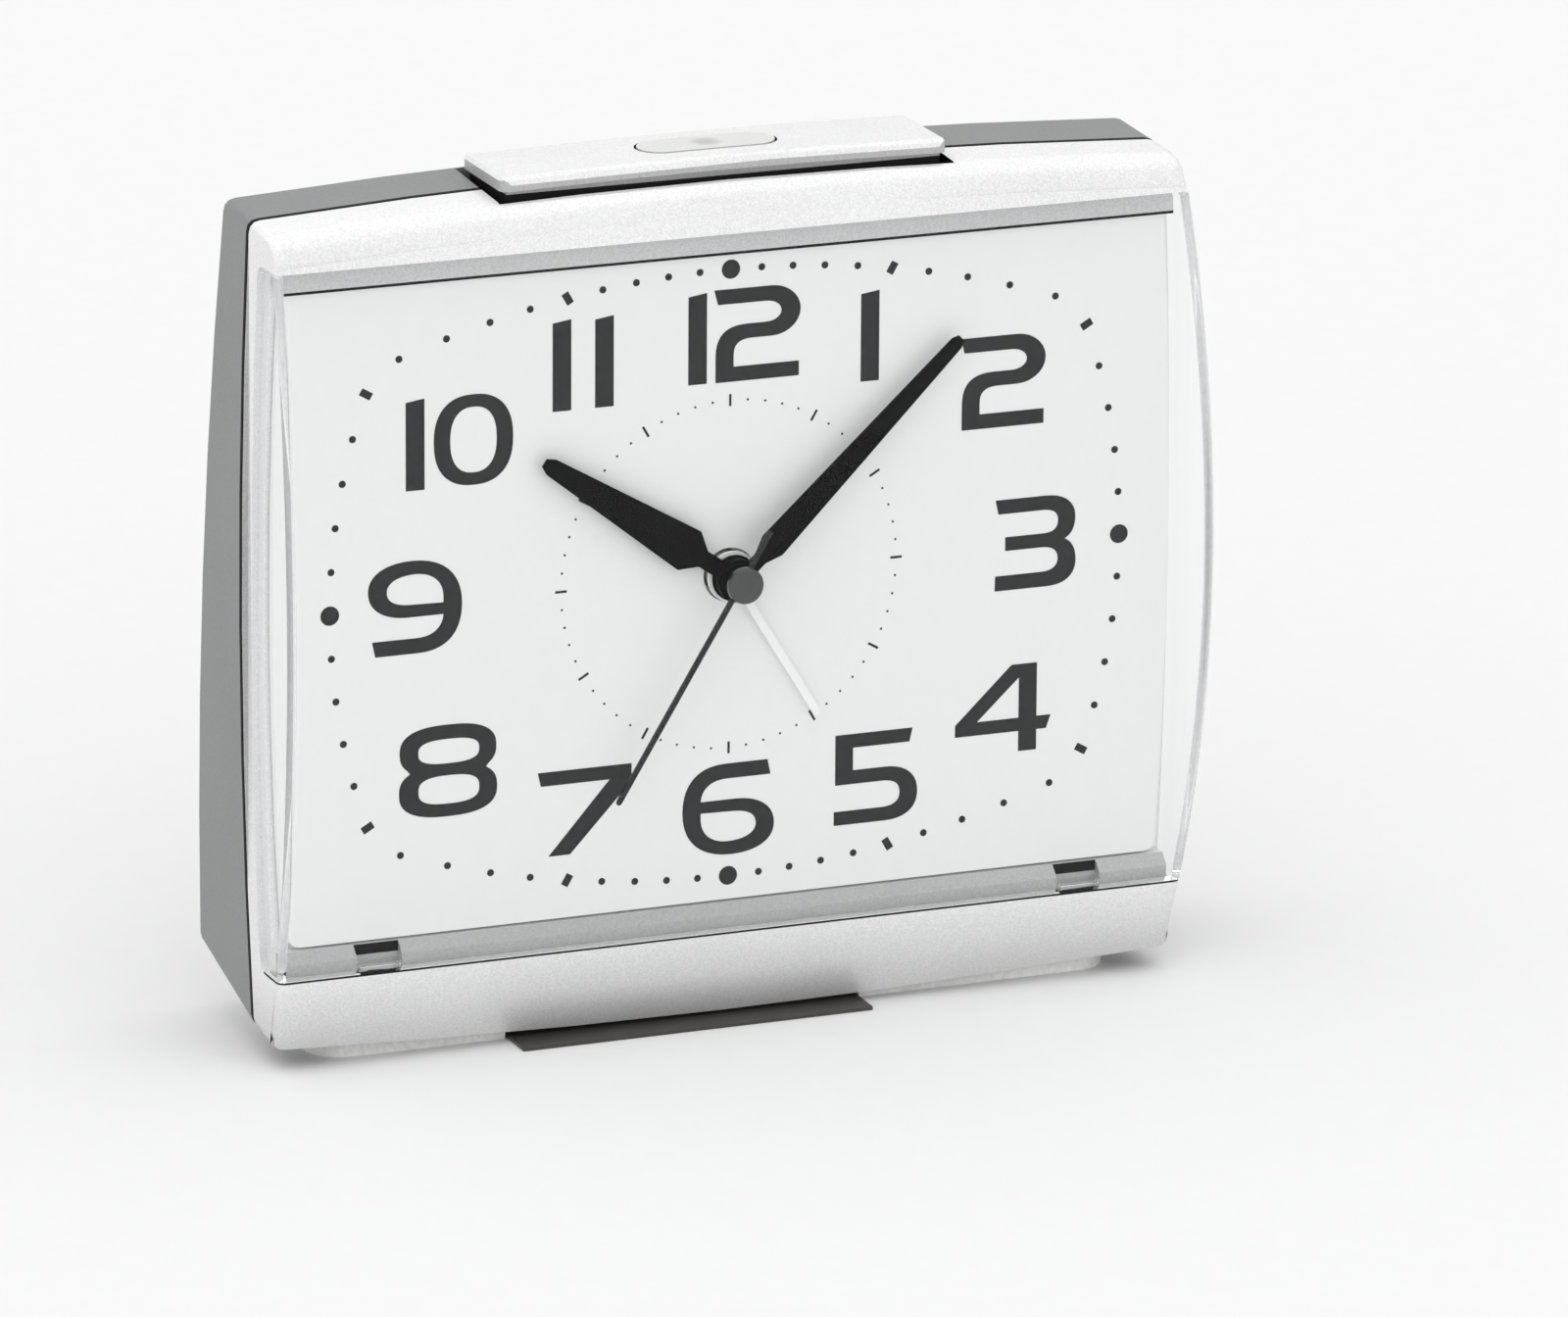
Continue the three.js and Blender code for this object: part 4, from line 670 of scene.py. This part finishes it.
bezel = softened("front_bezel", "bezel_shell", "clock", 0.28, flat=0.1, shape=shape_bezel)
case = softened("rear_case", "case_shell", "clock", 0.2, shape=shape_case)
bar = softened("snooze_bar", "snooze_shell", "snooze", 0.2, shape=shape_bar)
for node, name, body, edge in [
    ("base_foot", "foot_block", "clock", 0.4),
    ("stabiliser_plate", "smoke_plate", "clock", 0.08),
    ("snooze_window", "window_plug", "snooze", 0.12),
    ("battery_door", "door_panel", "door", 0.2),
    ("battery_cell", "cell_sleeve", "clock", 0.15),
    ("alarm_switch", "alarm_slider", "alarm_slide", 0.12),
    ("time_set_knob", "time_knob", "motion", 0.15),
    ("alarm_set_knob", "alarm_knob", "alarm_setting", 0.15),
]:
    softened(node, name, body, edge)

# %% [markdown]
# Painted shade in the joints
#
# Where bezel and case meet, where the lens sits, round the window, in the opening of the snooze bar and on
# the undersides, a dark finish is painted on as shade: the shadow that falls into these gaps and under the
# parts.
# It goes on faces chosen by where they lie and which way they face. In the same way the shelf and the brow
# behind the lens and the upright sides of the snooze bar get a darker silver, which is painted shade.

# %% Faces with painted shade
# A dark finish that is painted shade for gaps, pockets and undersides.
joint_shade = moulded("painted_joint_shade", (0.018, 0.018, 0.018), 0.7, 0.3, 0.004, 0.1)
PARTING = 6.8  # depth where bezel and case meet
INSIDE = 58.5  # half the width between the bezel's side walls
LEDGE, ROOF = 12.05, 100.65  # heights between which the lens stands
SHELF_LOW, SHELF_FRONT, SHELF_BACK = 12.3, -2.2, -0.1  # height and depths of the shelf
UNDERSIDE, UNDER_HALF = 6, 57  # height and half width of the bezel's lower side
OPENING, OPENING_LOW = 29.6, 101.5  # half width and lowest height of the snooze bar's opening
OPENING_FRONT, OPENING_BACK = 0.7, 16.2  # its depths
BAR_LOW, BAR_BAND, BAR_TOP = 106.3, 106.8, 107.2  # the skirt is lower, the sides and the window are higher
BAR_INNER, BAR_FRONT, BAR_BACK = 27, 2.5, 14.3  # half width and depths that leave out its outer sides


def refinish(piece, finish, wanted):
    """Gives a second finish to the faces that the test wants."""
    piece.data.materials.append(finish)
    slot = len(piece.data.materials) - 1
    count = 0
    for face in piece.data.polygons:
        spot = face.center / MM
        if wanted(spot.x, spot.y - DIAL, spot.z, face.normal):
            face.material_index = slot
            count += 1
    print(piece.name, "has", count, "faces in", finish.name)


def bar_opening(x, depth, height, normal):
    """The walls of the opening that the snooze bar sinks into."""
    ends = abs(abs(x) - OPENING) < 0.2 and abs(normal.x) > 0.7
    front = abs(depth - OPENING_FRONT) < 0.2 and abs(x) < OPENING and normal.y > 0.7
    return height > OPENING_LOW and depth < OPENING_BACK and (ends or front)


def shelf(x, depth, height, normal):
    """The ledge below the dial, behind the lens."""
    return abs(x) < INSIDE and SHELF_LOW < height < SHELF_TOP and SHELF_FRONT < depth < SHELF_BACK


def brow(x, depth, height, normal):
    """The band above the dial, behind the lens."""
    return abs(x) < INSIDE and BROW < height < ROOF + 0.05 and abs(depth - BROW_FRONT) < 0.2


# Faces painted dark as shade: the joint with the case, the lens seat, the brow's shadow line, the pocket
# walls, the underside and the bar's opening.
def bezel_joint_shade(x, depth, height, normal):
    meets_case = depth > PARTING - 0.2 and normal.y > 0.2
    lens_ledge = abs(height - LEDGE) < 0.28 and depth < 3.5 and normal.z > 0.3
    brow_edge = BROW - 0.1 < height < BROW + BROW_SHADOW and abs(depth - BROW_FRONT) < 0.1 and normal.y < -0.5
    in_pocket = abs(abs(x) - POCKET) < POCKET_HALF and abs(depth - POCKET_WALL) < 0.1
    pocket = in_pocket and POCKET_SHADE < height < SHELF_TOP - 0.1
    below = height < UNDERSIDE and normal.z < -0.6 and abs(x) < UNDER_HALF
    top_lip = abs(height - ROOF) < 0.35 and depth < -1.6 and -0.95 < normal.z < -0.25
    lens_seat = lens_ledge or brow_edge or top_lip or pocket
    return meets_case or lens_seat or below or bar_opening(x, depth, height, normal)


# Painted shade on the case's edge by the joint and in the bar's opening.
def case_joint_shade(x, depth, height, normal):
    return depth < GROOVE_SHADE or bar_opening(x, depth, height, normal)


def bar_side(x, depth, height, normal):
    """The upright band below the rounded rim of the bar."""
    return height > BAR_BAND and abs(normal.z) < 0.2


# Painted shade on the bar's undersides, its skirt and round the window.
def bar_joint_shade(x, depth, height, normal):
    inner = abs(x) < BAR_INNER and BAR_FRONT < depth < BAR_BACK
    around_window = inner and height > BAR_TOP and abs(normal.z) < 0.5
    return normal.z < -0.5 or height < BAR_LOW or around_window


# The darker silvers and the dark finish all go on as painted shade.
for piece, finish, wanted in [
    (bezel, shade_silver, shelf), (bezel, brow_shade_silver, brow), (bezel, joint_shade, bezel_joint_shade),
    (case, joint_shade, case_joint_shade), (bar, shade_silver, bar_side), (bar, joint_shade, bar_joint_shade),
]:
    refinish(piece, finish, wanted)

# %% [markdown]
# Lens cover
#
# The lens wraps from one side of the case across the front to the other, and its front is part of a large
# cylinder that lies across the clock. It starts as a plain grid. Each row is moved out to the bow of the case
# and forward to the cylinder, and the two upright borders are extruded backwards as side walls.

# %% Lens sheet
LENS_LOW, LENS_HIGH, LENS_BACK, LENS_WALL = 12.35, 100.35, 3.1, 1.2
LENS_ROWS = 32
bpy.ops.object.select_all(action="DESELECT")
middle = (LENS_LOW + LENS_HIGH) / 2
bpy.ops.mesh.primitive_grid_add(x_subdivisions=10, y_subdivisions=LENS_ROWS, size=1,
                                location=place(0, 0, middle), rotation=(math.radians(90), 0, 0))
lens = fixed((2 * MM, (LENS_HIGH - LENS_LOW) * MM, 1))
lens.name = "lens_shell"
bpy.ops.object.mode_set(mode="EDIT")
for row in range(LENS_ROWS + 1):
    height = LENS_LOW + (LENS_HIGH - LENS_LOW) * row / LENS_ROWS
    pick(lens, lambda v: abs(v.z - height) < 0.01)
    bpy.ops.transform.resize(value=(case_side(height), 1, 1), center_override=place(0, 0, height))
    bpy.ops.transform.translate(value=(0, nose_face(height) * MM, 0))
for side in (-1, 1):
    pick(lens, lambda e: all(side * v.x > case_side(v.z) - 0.01 for v in e), "EDGE")
    bpy.ops.mesh.extrude_region_move(TRANSFORM_OT_translate={"value": (0, 0.03, 0)})
    bpy.ops.transform.resize(value=(1, 0, 1), center_override=place(0, LENS_BACK, middle))
bpy.ops.object.mode_set(mode="OBJECT")
print("lens sheet", len(lens.data.vertices), "points")

# %% [markdown]
# The rear corners of the side walls are rounded so that they slip into the bezel, and the two upright front
# edges are rounded where a finger feels them. Bevel does both, on points and on edges. A Solidify modifier
# gives the sheet its wall, a last small bevel breaks the rim, and two tabs at the lower edge snap into the
# pockets of the bezel.

# %% Lens rounding, wall and tabs
REAR_CORNER, FRONT_EDGE, RIM = 1.8, 0.9, 0.16  # roundings of the lens
TAB_WIDE, TAB_END, TAB_EDGE = 5.2, -0.6, 0.12  # width, depth of the rear end, and rounding of a tab
rear = place(0, LENS_BACK, 0).y / MM
bpy.ops.object.mode_set(mode="EDIT")
pick(lens, lambda v: abs(v.y - rear) < 0.01 and min(abs(v.z - LENS_LOW), abs(v.z - LENS_HIGH)) < 0.01)
bpy.ops.mesh.bevel(offset=REAR_CORNER * MM, segments=5, affect="VERTICES")
pick(lens, lambda e: abs(e[0].z - e[1].z) > 0.5
     and all(abs(v.x) > case_side(v.z) - 0.01 and abs(v.y - DIAL - nose_face(v.z)) < 0.02 for v in e), "EDGE")
bpy.ops.mesh.bevel(offset=FRONT_EDGE * MM, segments=5, affect="EDGES")
face_outward()
middle_face = min(lens.data.polygons, key=lambda f: (f.center - place(0, nose_face(AXIS), AXIS)).length)
if middle_face.normal.y > 0:
    lens.data.flip_normals()
apply_modifier(lens, "SOLIDIFY", thickness=LENS_WALL * MM, offset=-1, use_even_offset=True)
smooth(lens, 30)
rounded(lens, RIM, 2, 60)
tab_low, tab_high = LENS_LOW + 0.3, LENS_LOW + 1.1
tab_front = nose_face(tab_low) + LENS_WALL / 2
for side in (-1, 1):
    tab_middle = place(side * POCKET, (tab_front + TAB_END) / 2, (tab_low + tab_high) / 2)
    tab = block((TAB_WIDE * MM, (TAB_END - tab_front) * MM, (tab_high - tab_low) * MM), tab_middle)
    rounded(tab, TAB_EDGE, 1)
    apply_modifier(lens, "BOOLEAN", operation="UNION", solver="EXACT", object=tab)
    bpy.data.objects.remove(tab)
smooth(lens, 40)
apply_modifier(lens, "WEIGHTED_NORMAL", keep_sharp=True, weight=100)
attach(lens, "clock", "clear_acrylic", stands_for=("lens_cover",))
print("lens", len(lens.data.polygons), "faces")

# %% [markdown]
# Numerals
#
# The numerals are drawn as outlines, the way the artwork for a printing screen is drawn: straight strokes,
# quarter curves and holes. A small pen helper turns lines, curves and arcs into points. Blender fills a flat
# curve and cuts out its holes, and the result becomes a thin layer of ink that stands on the dial.


# %% Pen
def pen(start, *moves):
    """Points of one outline. A move is a point, or (handle, handle, end) for a curve."""
    points = [start]
    for move in moves:
        if isinstance(move[0], tuple):
            a, (b, c, d) = points[-1], move
            for i in range(1, 11):
                t = i / 10
                weights = ((1 - t) ** 3, 3 * t * (1 - t) ** 2, 3 * t * t * (1 - t), t ** 3)
                points.append(tuple(sum(w * p[k] for w, p in zip(weights, (a, b, c, d))) for k in (0, 1)))
        else:
            points.append(move)
    return points


def round_box(x, z, half_wide, half_high, power):
    """A full round form between an ellipse, at power 2, and a rectangle."""
    points = []
    for i in range(48):
        c, s = math.cos(math.tau * i / 48), math.sin(math.tau * i / 48)
        points.append((x + half_wide * math.copysign(abs(c) ** (2 / power), c),
                       z + half_high * math.copysign(abs(s) ** (2 / power), s)))
    return points


def arc(x, z, wide, high, first, last):
    angles = [math.radians(first + (last - first) * i / 14) for i in range(15)]
    return [(x + wide * math.cos(a), z + high * math.sin(a)) for a in angles]


def shifted(outline, x, z, turned=False):
    sign = -1 if turned else 1
    return [(x + sign * px, z + sign * pz) for px, pz in outline]


print("pen is ready")

# %% Outlines of the numerals
one = [(0, 0), (2.4, 0), (2.4, 11.35), (0, 11.0)]
two = [(-0.2, 11.6), (7.3, 11.6), *arc(7.3, 8.45, 3.8, 3.15, 90, -90), (4.6, 5.3),
       *pen((4.6, 5.3), ((3.0, 5.25), (2.35, 4.6), (2.35, 3.3)))[1:], (2.35, 1.85), (10.9, 1.85), (10.9, 0),
       (0, 0),
       *pen((0, 3.2), ((0, 6.0), (1.4, 7.1), (4.2, 7.1))), *arc(6.6, 8.42, 2.0, 1.32, -90, 90), (0.3, 9.75)]
nine = pen((-46.0, -5.8), (-40.5, -5.8), ((-36.5, -5.8), (-34.8, -3.4), (-34.8, 0)),
           ((-34.8, 3.8), (-37.2, 5.85), (-41.2, 5.85)), ((-44.6, 5.85), (-46.9, 4.6), (-46.9, 2.35)),
           ((-46.9, 0.1), (-44.9, -1.15), (-42, -1.2)), (-37.2, -1.2),
           ((-37.3, -2.9), (-38.6, -3.9), (-40.6, -3.9)), (-46.4, -3.9))
nine_hole = pen((-37.2, 0.25), (-37.2, 1.2), ((-37.3, 3.1), (-38.8, 4.15), (-40.8, 4.15)),
                ((-43, 4.15), (-44.5, 3.4), (-44.5, 2.2)), ((-44.5, 0.9), (-43.3, 0.4), (-41.5, 0.35)))
three = pen((35.2, 5.85), (42, 5.85), ((44.6, 5.85), (45.9, 4.6), (45.9, 2.9)),
            ((45.9, 1.5), (45.4, 0.6), (44.5, 0.15)), ((45.5, -0.3), (46, -1.3), (46, -2.7)),
            ((46, -4.6), (44.6, -5.75), (42.2, -5.75)), (35.2, -5.75), (35.25, -3.85), (41.4, -3.85),
            ((42.9, -3.85), (43.6, -3.2), (43.6, -2.3)), ((43.6, -1.3), (42.9, -0.7), (41.4, -0.7)),
            (36.55, -0.7), (36.55, 1.05), (41.6, 1.05), ((43, 1.05), (43.6, 1.6), (43.6, 2.6)),
            ((43.6, 3.5), (43, 4.05), (41.6, 4.05)), (35.6, 4.05))
four = [(30.1, -24), (38.6, -24), (38.6, -26.6), (41, -26.6), (41, -24), (42.3, -24), (42.9, -22.3),
        (41, -22.3), (41, -15.4), (37.6, -15.4), (30.1, -22.5)]
four_hole = [(33, -22.3), (38.6, -17.1), (38.6, -22.3)]
five = pen((14.15, -22.05), (24.4, -22.05), (24, -23.8), (16.5, -23.8), (16.5, -26.7), (20.8, -26.7),
           ((23.6, -26.7), (25.1, -28), (25.1, -30.2)), ((25.1, -32.3), (23.6, -33.6), (20.8, -33.6)),
           (14, -33.6), (14, -31.85), (20.4, -31.85), ((22, -31.85), (22.75, -31.2), (22.75, -30.15)),
           ((22.75, -29), (22, -28.45), (20.4, -28.45)), (14.15, -28.45))
seven = [(-25, -22.65), (-12.75, -22.65), (-12.75, -24.9), (-20.8, -33.4), (-23.6, -33.4), (-15.6, -24.4),
         (-24.6, -24.4)]


def eight_side(z):
    """Half the width of the eight at a height: the wider of its two rounds."""
    widths = [0.0]
    for middle, high, wide in ((-18.4, 3.2, 6.25), (-23.5, 3.3, 6.35)):
        reach = abs(z - middle) / high
        if reach < 1:
            widths.append(wide * (1 - reach ** 2.6) ** (1 / 2.6))
    return max(widths)


EIGHT, EIGHT_TOP, EIGHT_HIGH = -36.65, -15.2, 11.6  # middle, top and height of the eight
eight_rows = [EIGHT_TOP - EIGHT_HIGH * (1 - math.cos(math.pi * i / 40)) / 2 for i in range(41)]
eight = [(EIGHT + eight_side(z), z) for z in eight_rows]
eight += [(EIGHT - eight_side(z), z) for z in eight_rows[::-1]]
print("outlines drawn")

# %% Numerals as ink
INK, INK_EDGE = 0.04, 0.012  # thickness of the printed ink, and its rounded shoulder


def ink_layer(name, outlines):
    """Fills flat outlines on the dial and gives the layer its thickness."""
    drawing = bpy.data.curves.new(name, "CURVE")
    drawing.dimensions = "2D"
    drawing.fill_mode = "BOTH"
    drawing.extrude = INK / 2
    for outline in outlines:
        clean = [p for i, p in enumerate(outline) if math.dist(p, outline[i - 1]) > 1e-4]
        spline = drawing.splines.new("POLY")
        spline.points.add(len(clean) - 1)
        for point, (x, z) in zip(spline.points, clean):
            point.co = (x, z, 0, 1)
        spline.use_cyclic_u = True
    piece = bpy.data.objects.new(name, drawing)
    bpy.context.scene.collection.objects.link(piece)
    activate(piece)
    bpy.ops.object.convert(target="MESH")
    piece = bpy.context.object
    upright = Matrix.Rotation(math.radians(90), 4, "X")
    piece.matrix_world = Matrix.Translation(on_dial(0, 0, -INK / 2)) @ upright @ Matrix.Scale(MM, 4)
    bpy.ops.object.transform_apply(location=True, rotation=True, scale=True)
    bpy.ops.object.mode_set(mode="EDIT")
    bpy.ops.mesh.select_all(action="SELECT")
    bpy.ops.mesh.remove_doubles(threshold=0.0005 * MM)
    face_outward()
    return piece


numerals = ink_layer("dial_numerals", [
    shifted(one, -5.5, 24.35), shifted(two, -1.95, 24.3), shifted(one, 17.1, 22.7), shifted(two, 30.55, 15.2),
    three, four, four_hole, five, seven, eight,
    round_box(-36.55, -18.55, 3.95, 1.55, 2.8), round_box(-36.55, -23.4, 3.95, 1.8, 2.8),
    nine, nine_hole, shifted(nine, -40.85, -29.85, True), shifted(nine_hole, -40.85, -29.85, True),
    shifted(one, -42.0, 14.6), round_box(-33.3, 20.25, 5.1, 5.65, 2.4),
    round_box(-33.3, 20.25, 3.0, 4.1, 2.4), shifted(one, -23.1, 22.7), shifted(one, -17.6, 22.7)])
attach(numerals, "clock", "black_plastic", ink)
print("numerals", len(numerals.data.polygons), "faces")

# %% [markdown]
# Minute track and alarm ring
#
# The track follows the shape of the dial: long arcs above and below and shorter ones at the sides, with every
# mark on its own six-degree ray. The alarm ring is a plain circle. Each kind of dot and stroke is modelled
# once, with a rounded shoulder like thick ink, and then copied to its places.

# %% Marks of the track
LONG_ARC, SIDE_ARC = (38.4, 129.8), (51.8, 80.3)  # reach from the axis, and radius
MINUTE_DOT, QUARTER_DOT, HOUR_STROKE = 0.9, 2.4, (1.55, 0.95)
RING, RING_DOT, RING_STROKE = 22, 0.3, (1.5, 0.3)  # radius and marks of the alarm ring


def mark_dot(diameter, corners=20):
    bpy.ops.object.select_all(action="DESELECT")
    bpy.ops.mesh.primitive_cylinder_add(vertices=corners, radius=diameter / 2 * MM, depth=INK * MM,
                                        rotation=(math.radians(90), 0, 0))
    dot = fixed()
    rounded(dot, INK_EDGE, 1, 60)
    return dot


def mark_stroke(long, wide):
    stroke = block((wide * MM, INK * MM, long * MM))
    rounded(stroke, INK_EDGE, 1)
    return stroke


def track_reach(degrees):
    """Distance from the axis to the track on the ray that many degrees from twelve."""
    ray = Vector((math.sin(math.radians(degrees)), math.cos(math.radians(degrees))))
    minute = round(degrees / 6) % 30
    upright = minute <= 9 or minute >= 21
    apex, radius = LONG_ARC if upright else SIDE_ARC
    if upright:
        centre = Vector((0, math.copysign(radius - apex, -ray.y)))
    else:
        centre = Vector((math.copysign(radius - apex, -ray.x), 0))
    along = ray.dot(centre)
    return along + math.sqrt(along ** 2 - centre.length_squared + radius ** 2)


def copies(model, spots):
    """Copies of a mark, each with its own mesh, at (x, z, turn) on the dial."""
    made = []
    for x, z, turned in spots:
        mark = twin(model.data, model.name)
        turning = Matrix.Rotation(math.radians(turned), 4, "Y")
        mark.data.transform(Matrix.Translation(on_dial(x, z, -INK / 2)) @ turning)
        made.append(mark)
    bpy.data.objects.remove(model)
    return made


def joined(name, parts):
    activate(parts[0])
    for part in parts:
        part.select_set(True)
    bpy.ops.object.join()
    parts[0].name = name
    return parts[0]


def ray_spots(minutes, reach):
    spots = []
    for minute in minutes:
        angle = math.radians(6 * minute)
        r = reach(6 * minute)
        spots.append((r * math.sin(angle), r * math.cos(angle), 6 * minute))
    return spots


quarters = [0, 15, 30, 45]
hours = [m for m in range(0, 60, 5) if m not in quarters]
minutes = [m for m in range(60) if m % 5]
track = joined("minute_track", copies(mark_dot(MINUTE_DOT), ray_spots(minutes, track_reach))
               + copies(mark_stroke(*HOUR_STROKE), ray_spots(hours, track_reach))
               + copies(mark_dot(QUARTER_DOT, 32), ray_spots(quarters, track_reach)))
attach(track, "clock", "black_plastic", ink)
ring = joined("alarm_scale", copies(mark_stroke(*RING_STROKE), ray_spots(range(0, 60, 5), lambda a: RING))
              + copies(mark_dot(RING_DOT, 10), ray_spots(minutes, lambda a: RING)))
attach(ring, "clock", "black_plastic", ink)
print("track", len(track.data.polygons), "faces, ring", len(ring.data.polygons), "faces")

# %% [markdown]
# Hands
#
# The hands are stamped from thin sheet, which leaves a faintly rolled edge, and the black ones are riveted to
# a collar that carries them. A softened copy of the solid gives the blade, and the collar is a circle that is
# extruded and resized in edit mode, ring by ring, as on a lathe.

# %% Blades and collars
EASE, FLANGE, DISH = 0.12, 0.55, 0.7  # broken edge of a collar, and the steps from its rim into its hollow


def collar(radius, bore, low, high):
    """A turned ring round the hands' axis, from one depth to another, with a broken outer edge."""
    bpy.ops.object.select_all(action="DESELECT")
    centre = on_dial(0, 0, low)
    bpy.ops.mesh.primitive_circle_add(vertices=48, radius=bore * MM, location=centre,
                                      rotation=(math.radians(90), 0, 0))
    ring = fixed()
    bpy.ops.object.mode_set(mode="EDIT")
    for size, step in ((radius - EASE, 0), (radius, EASE), (radius, abs(high - low) - 2 * EASE),
                       (radius - EASE, EASE), (radius - FLANGE, 0), (radius - DISH, -EASE), (bore, 0)):
        bpy.ops.mesh.extrude_region_move(TRANSFORM_OT_translate={"value": (0, -step * MM, 0)})
        ring.update_from_editmode()
        now = max(math.hypot(v.co.x, v.co.z - centre.z) for v in ring.data.vertices if v.select)
        bpy.ops.transform.resize(value=(size * MM / now, 1, size * MM / now), center_override=centre)
    bpy.ops.mesh.select_all(action="SELECT")
    bpy.ops.mesh.remove_doubles(threshold=0.001 * MM)
    bpy.ops.mesh.select_all(action="DESELECT")
    bpy.ops.mesh.select_mode(type="EDGE")
    bpy.ops.mesh.select_non_manifold()
    bpy.ops.mesh.bridge_edge_loops()
    face_outward()
    smooth(ring, 35)
    return ring


def hand(node, name, body, *collars):
    blade = softened(node, name, body, 0.09, sharp=40)
    for sizes in collars:
        part = collar(*sizes)
        wear(part, finishes[slot_of[node]])
        joined(name, [blade, part])
    print(name, "with", len(collars), "collars")
    return blade


hand("alarm_hand", "alarm_pointer", "alarm")
hand("hour_hand", "hour_blade", "hours", (2.65, 2.1, -1.9, -2.7))
hand("minute_hand", "minute_blade", "minutes", (2.4, 1.4, -3.4, -3.66))
needle = hand("second_hand", "second_needle", "seconds", (1.7, 0.9, -4.3, -4.6))
wear(needle, lacquer("needle_black", (0.008, 0.008, 0.0085), (0.016, 0.016, 0.017), 0.16, 0.45))

# %% [markdown]
# Cap
#
# A small dark cap hides the end of the arbor. It is turned from plastic with a nearly flat face and a rounded
# shoulder, so it mirrors the lamp in a narrow crescent.

# %% Cap of the second hand
CAP_SHOULDER, CAP_RINGS = 0.42, (0.9, 0.8)  # rounding, and the rings that keep the face flat
low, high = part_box("second_hand_cap")
cap_middle = (low + high) / 2
bpy.ops.object.select_all(action="DESELECT")
bpy.ops.mesh.primitive_cylinder_add(vertices=64, radius=(high.x - low.x) / 2, depth=high.y - low.y,
                                    location=cap_middle, rotation=(math.radians(90), 0, 0))
cap = fixed()
cap.name = "arbor_cap"
bpy.ops.object.mode_set(mode="EDIT")
pick(cap, lambda f: all(abs(v.y - low.y / MM) < 0.01 for v in f), "FACE")
for ring_width in CAP_RINGS:
    bpy.ops.mesh.inset(thickness=ring_width * MM)
bpy.ops.object.mode_set(mode="OBJECT")
rounded(cap, CAP_SHOULDER, 5, 50)
smooth(cap, 40)
gloss, start = new_finish("cap_gloss")
swirl = grain(start, 0.8, 2)
settle(gloss, Base_Color=swirl.blend((0.026, 0.026, 0.027), (0.045, 0.045, 0.046)),
       Roughness=0.16 + 0.1 * swirl, Coat_Weight=0.6, Coat_Roughness=0.04, Normal=relief(start, swirl, 0.002))
attach(cap, "seconds", "black_plastic", gloss, ("second_hand_cap",))
print("cap", len(cap.data.polygons), "faces")

# %% [markdown]
# Springs of the snooze bar
#
# Two coil springs push the bar up. They stand on the case and are pressed shorter by the bar. A copy of the
# solid's mesh is merged and smoothed, and it takes the place of the solid.

# %% Smoothed springs
for side in ("left", "right"):
    node = f"snooze_spring_{side}"
    low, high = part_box(node)
    spring = merged(node, f"coil_spring_{side}")
    bpy.ops.object.mode_set(mode="OBJECT")
    smooth(spring, 50)
    attach(spring, "clock", "steel", stands_for=(node,))
    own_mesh(spring)

# %% [markdown]
# Case screws
#
# Four screws hold the case from behind, two short ones at the top and two long ones at the bottom. A screw
# head is recognised by its cross recess, so a softened copy of the solid has a cross cut into its head by two
# thin blocks. One screw of each length is made on the left and copied to the right.

# %% Screws with a cross recess
CROSS_TURN, CROSS_SHARE = 20, 1.25  # turn of the cross in degrees, and its length as a share of the radius
CROSS_DEEP, CROSS_WIDE = 1.5, 0.65  # size of the blocks that cut it


def cross_screw(name, node):
    low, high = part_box(node)
    middle = (low + high) / 2
    radius = (high.x - low.x) / 2
    piece = softened(node, name, "clock", 0.12, sharp=40)
    for turned in (0, 90):
        cutter = block((radius * CROSS_SHARE, CROSS_DEEP * MM, CROSS_WIDE * MM), (middle.x, high.y, middle.z),
                       turned + CROSS_TURN)
        apply_modifier(piece, "BOOLEAN", operation="DIFFERENCE", solver="EXACT", object=cutter)
        bpy.data.objects.remove(cutter)
    return piece


for left, right in (("1", "2"), ("3", "4")):
    node = "case_screw_" + right
    model = cross_screw("cross_screw_" + left, "case_screw_" + left)
    screw = twin(model.data, "cross_screw_" + right)
    screw.data.transform(Matrix.Translation(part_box(node)[0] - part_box("case_screw_" + left)[0]))
    attach(screw, "clock", slot_of[node], stands_for=(node,))
    print(screw.name, "copied from", model.name)
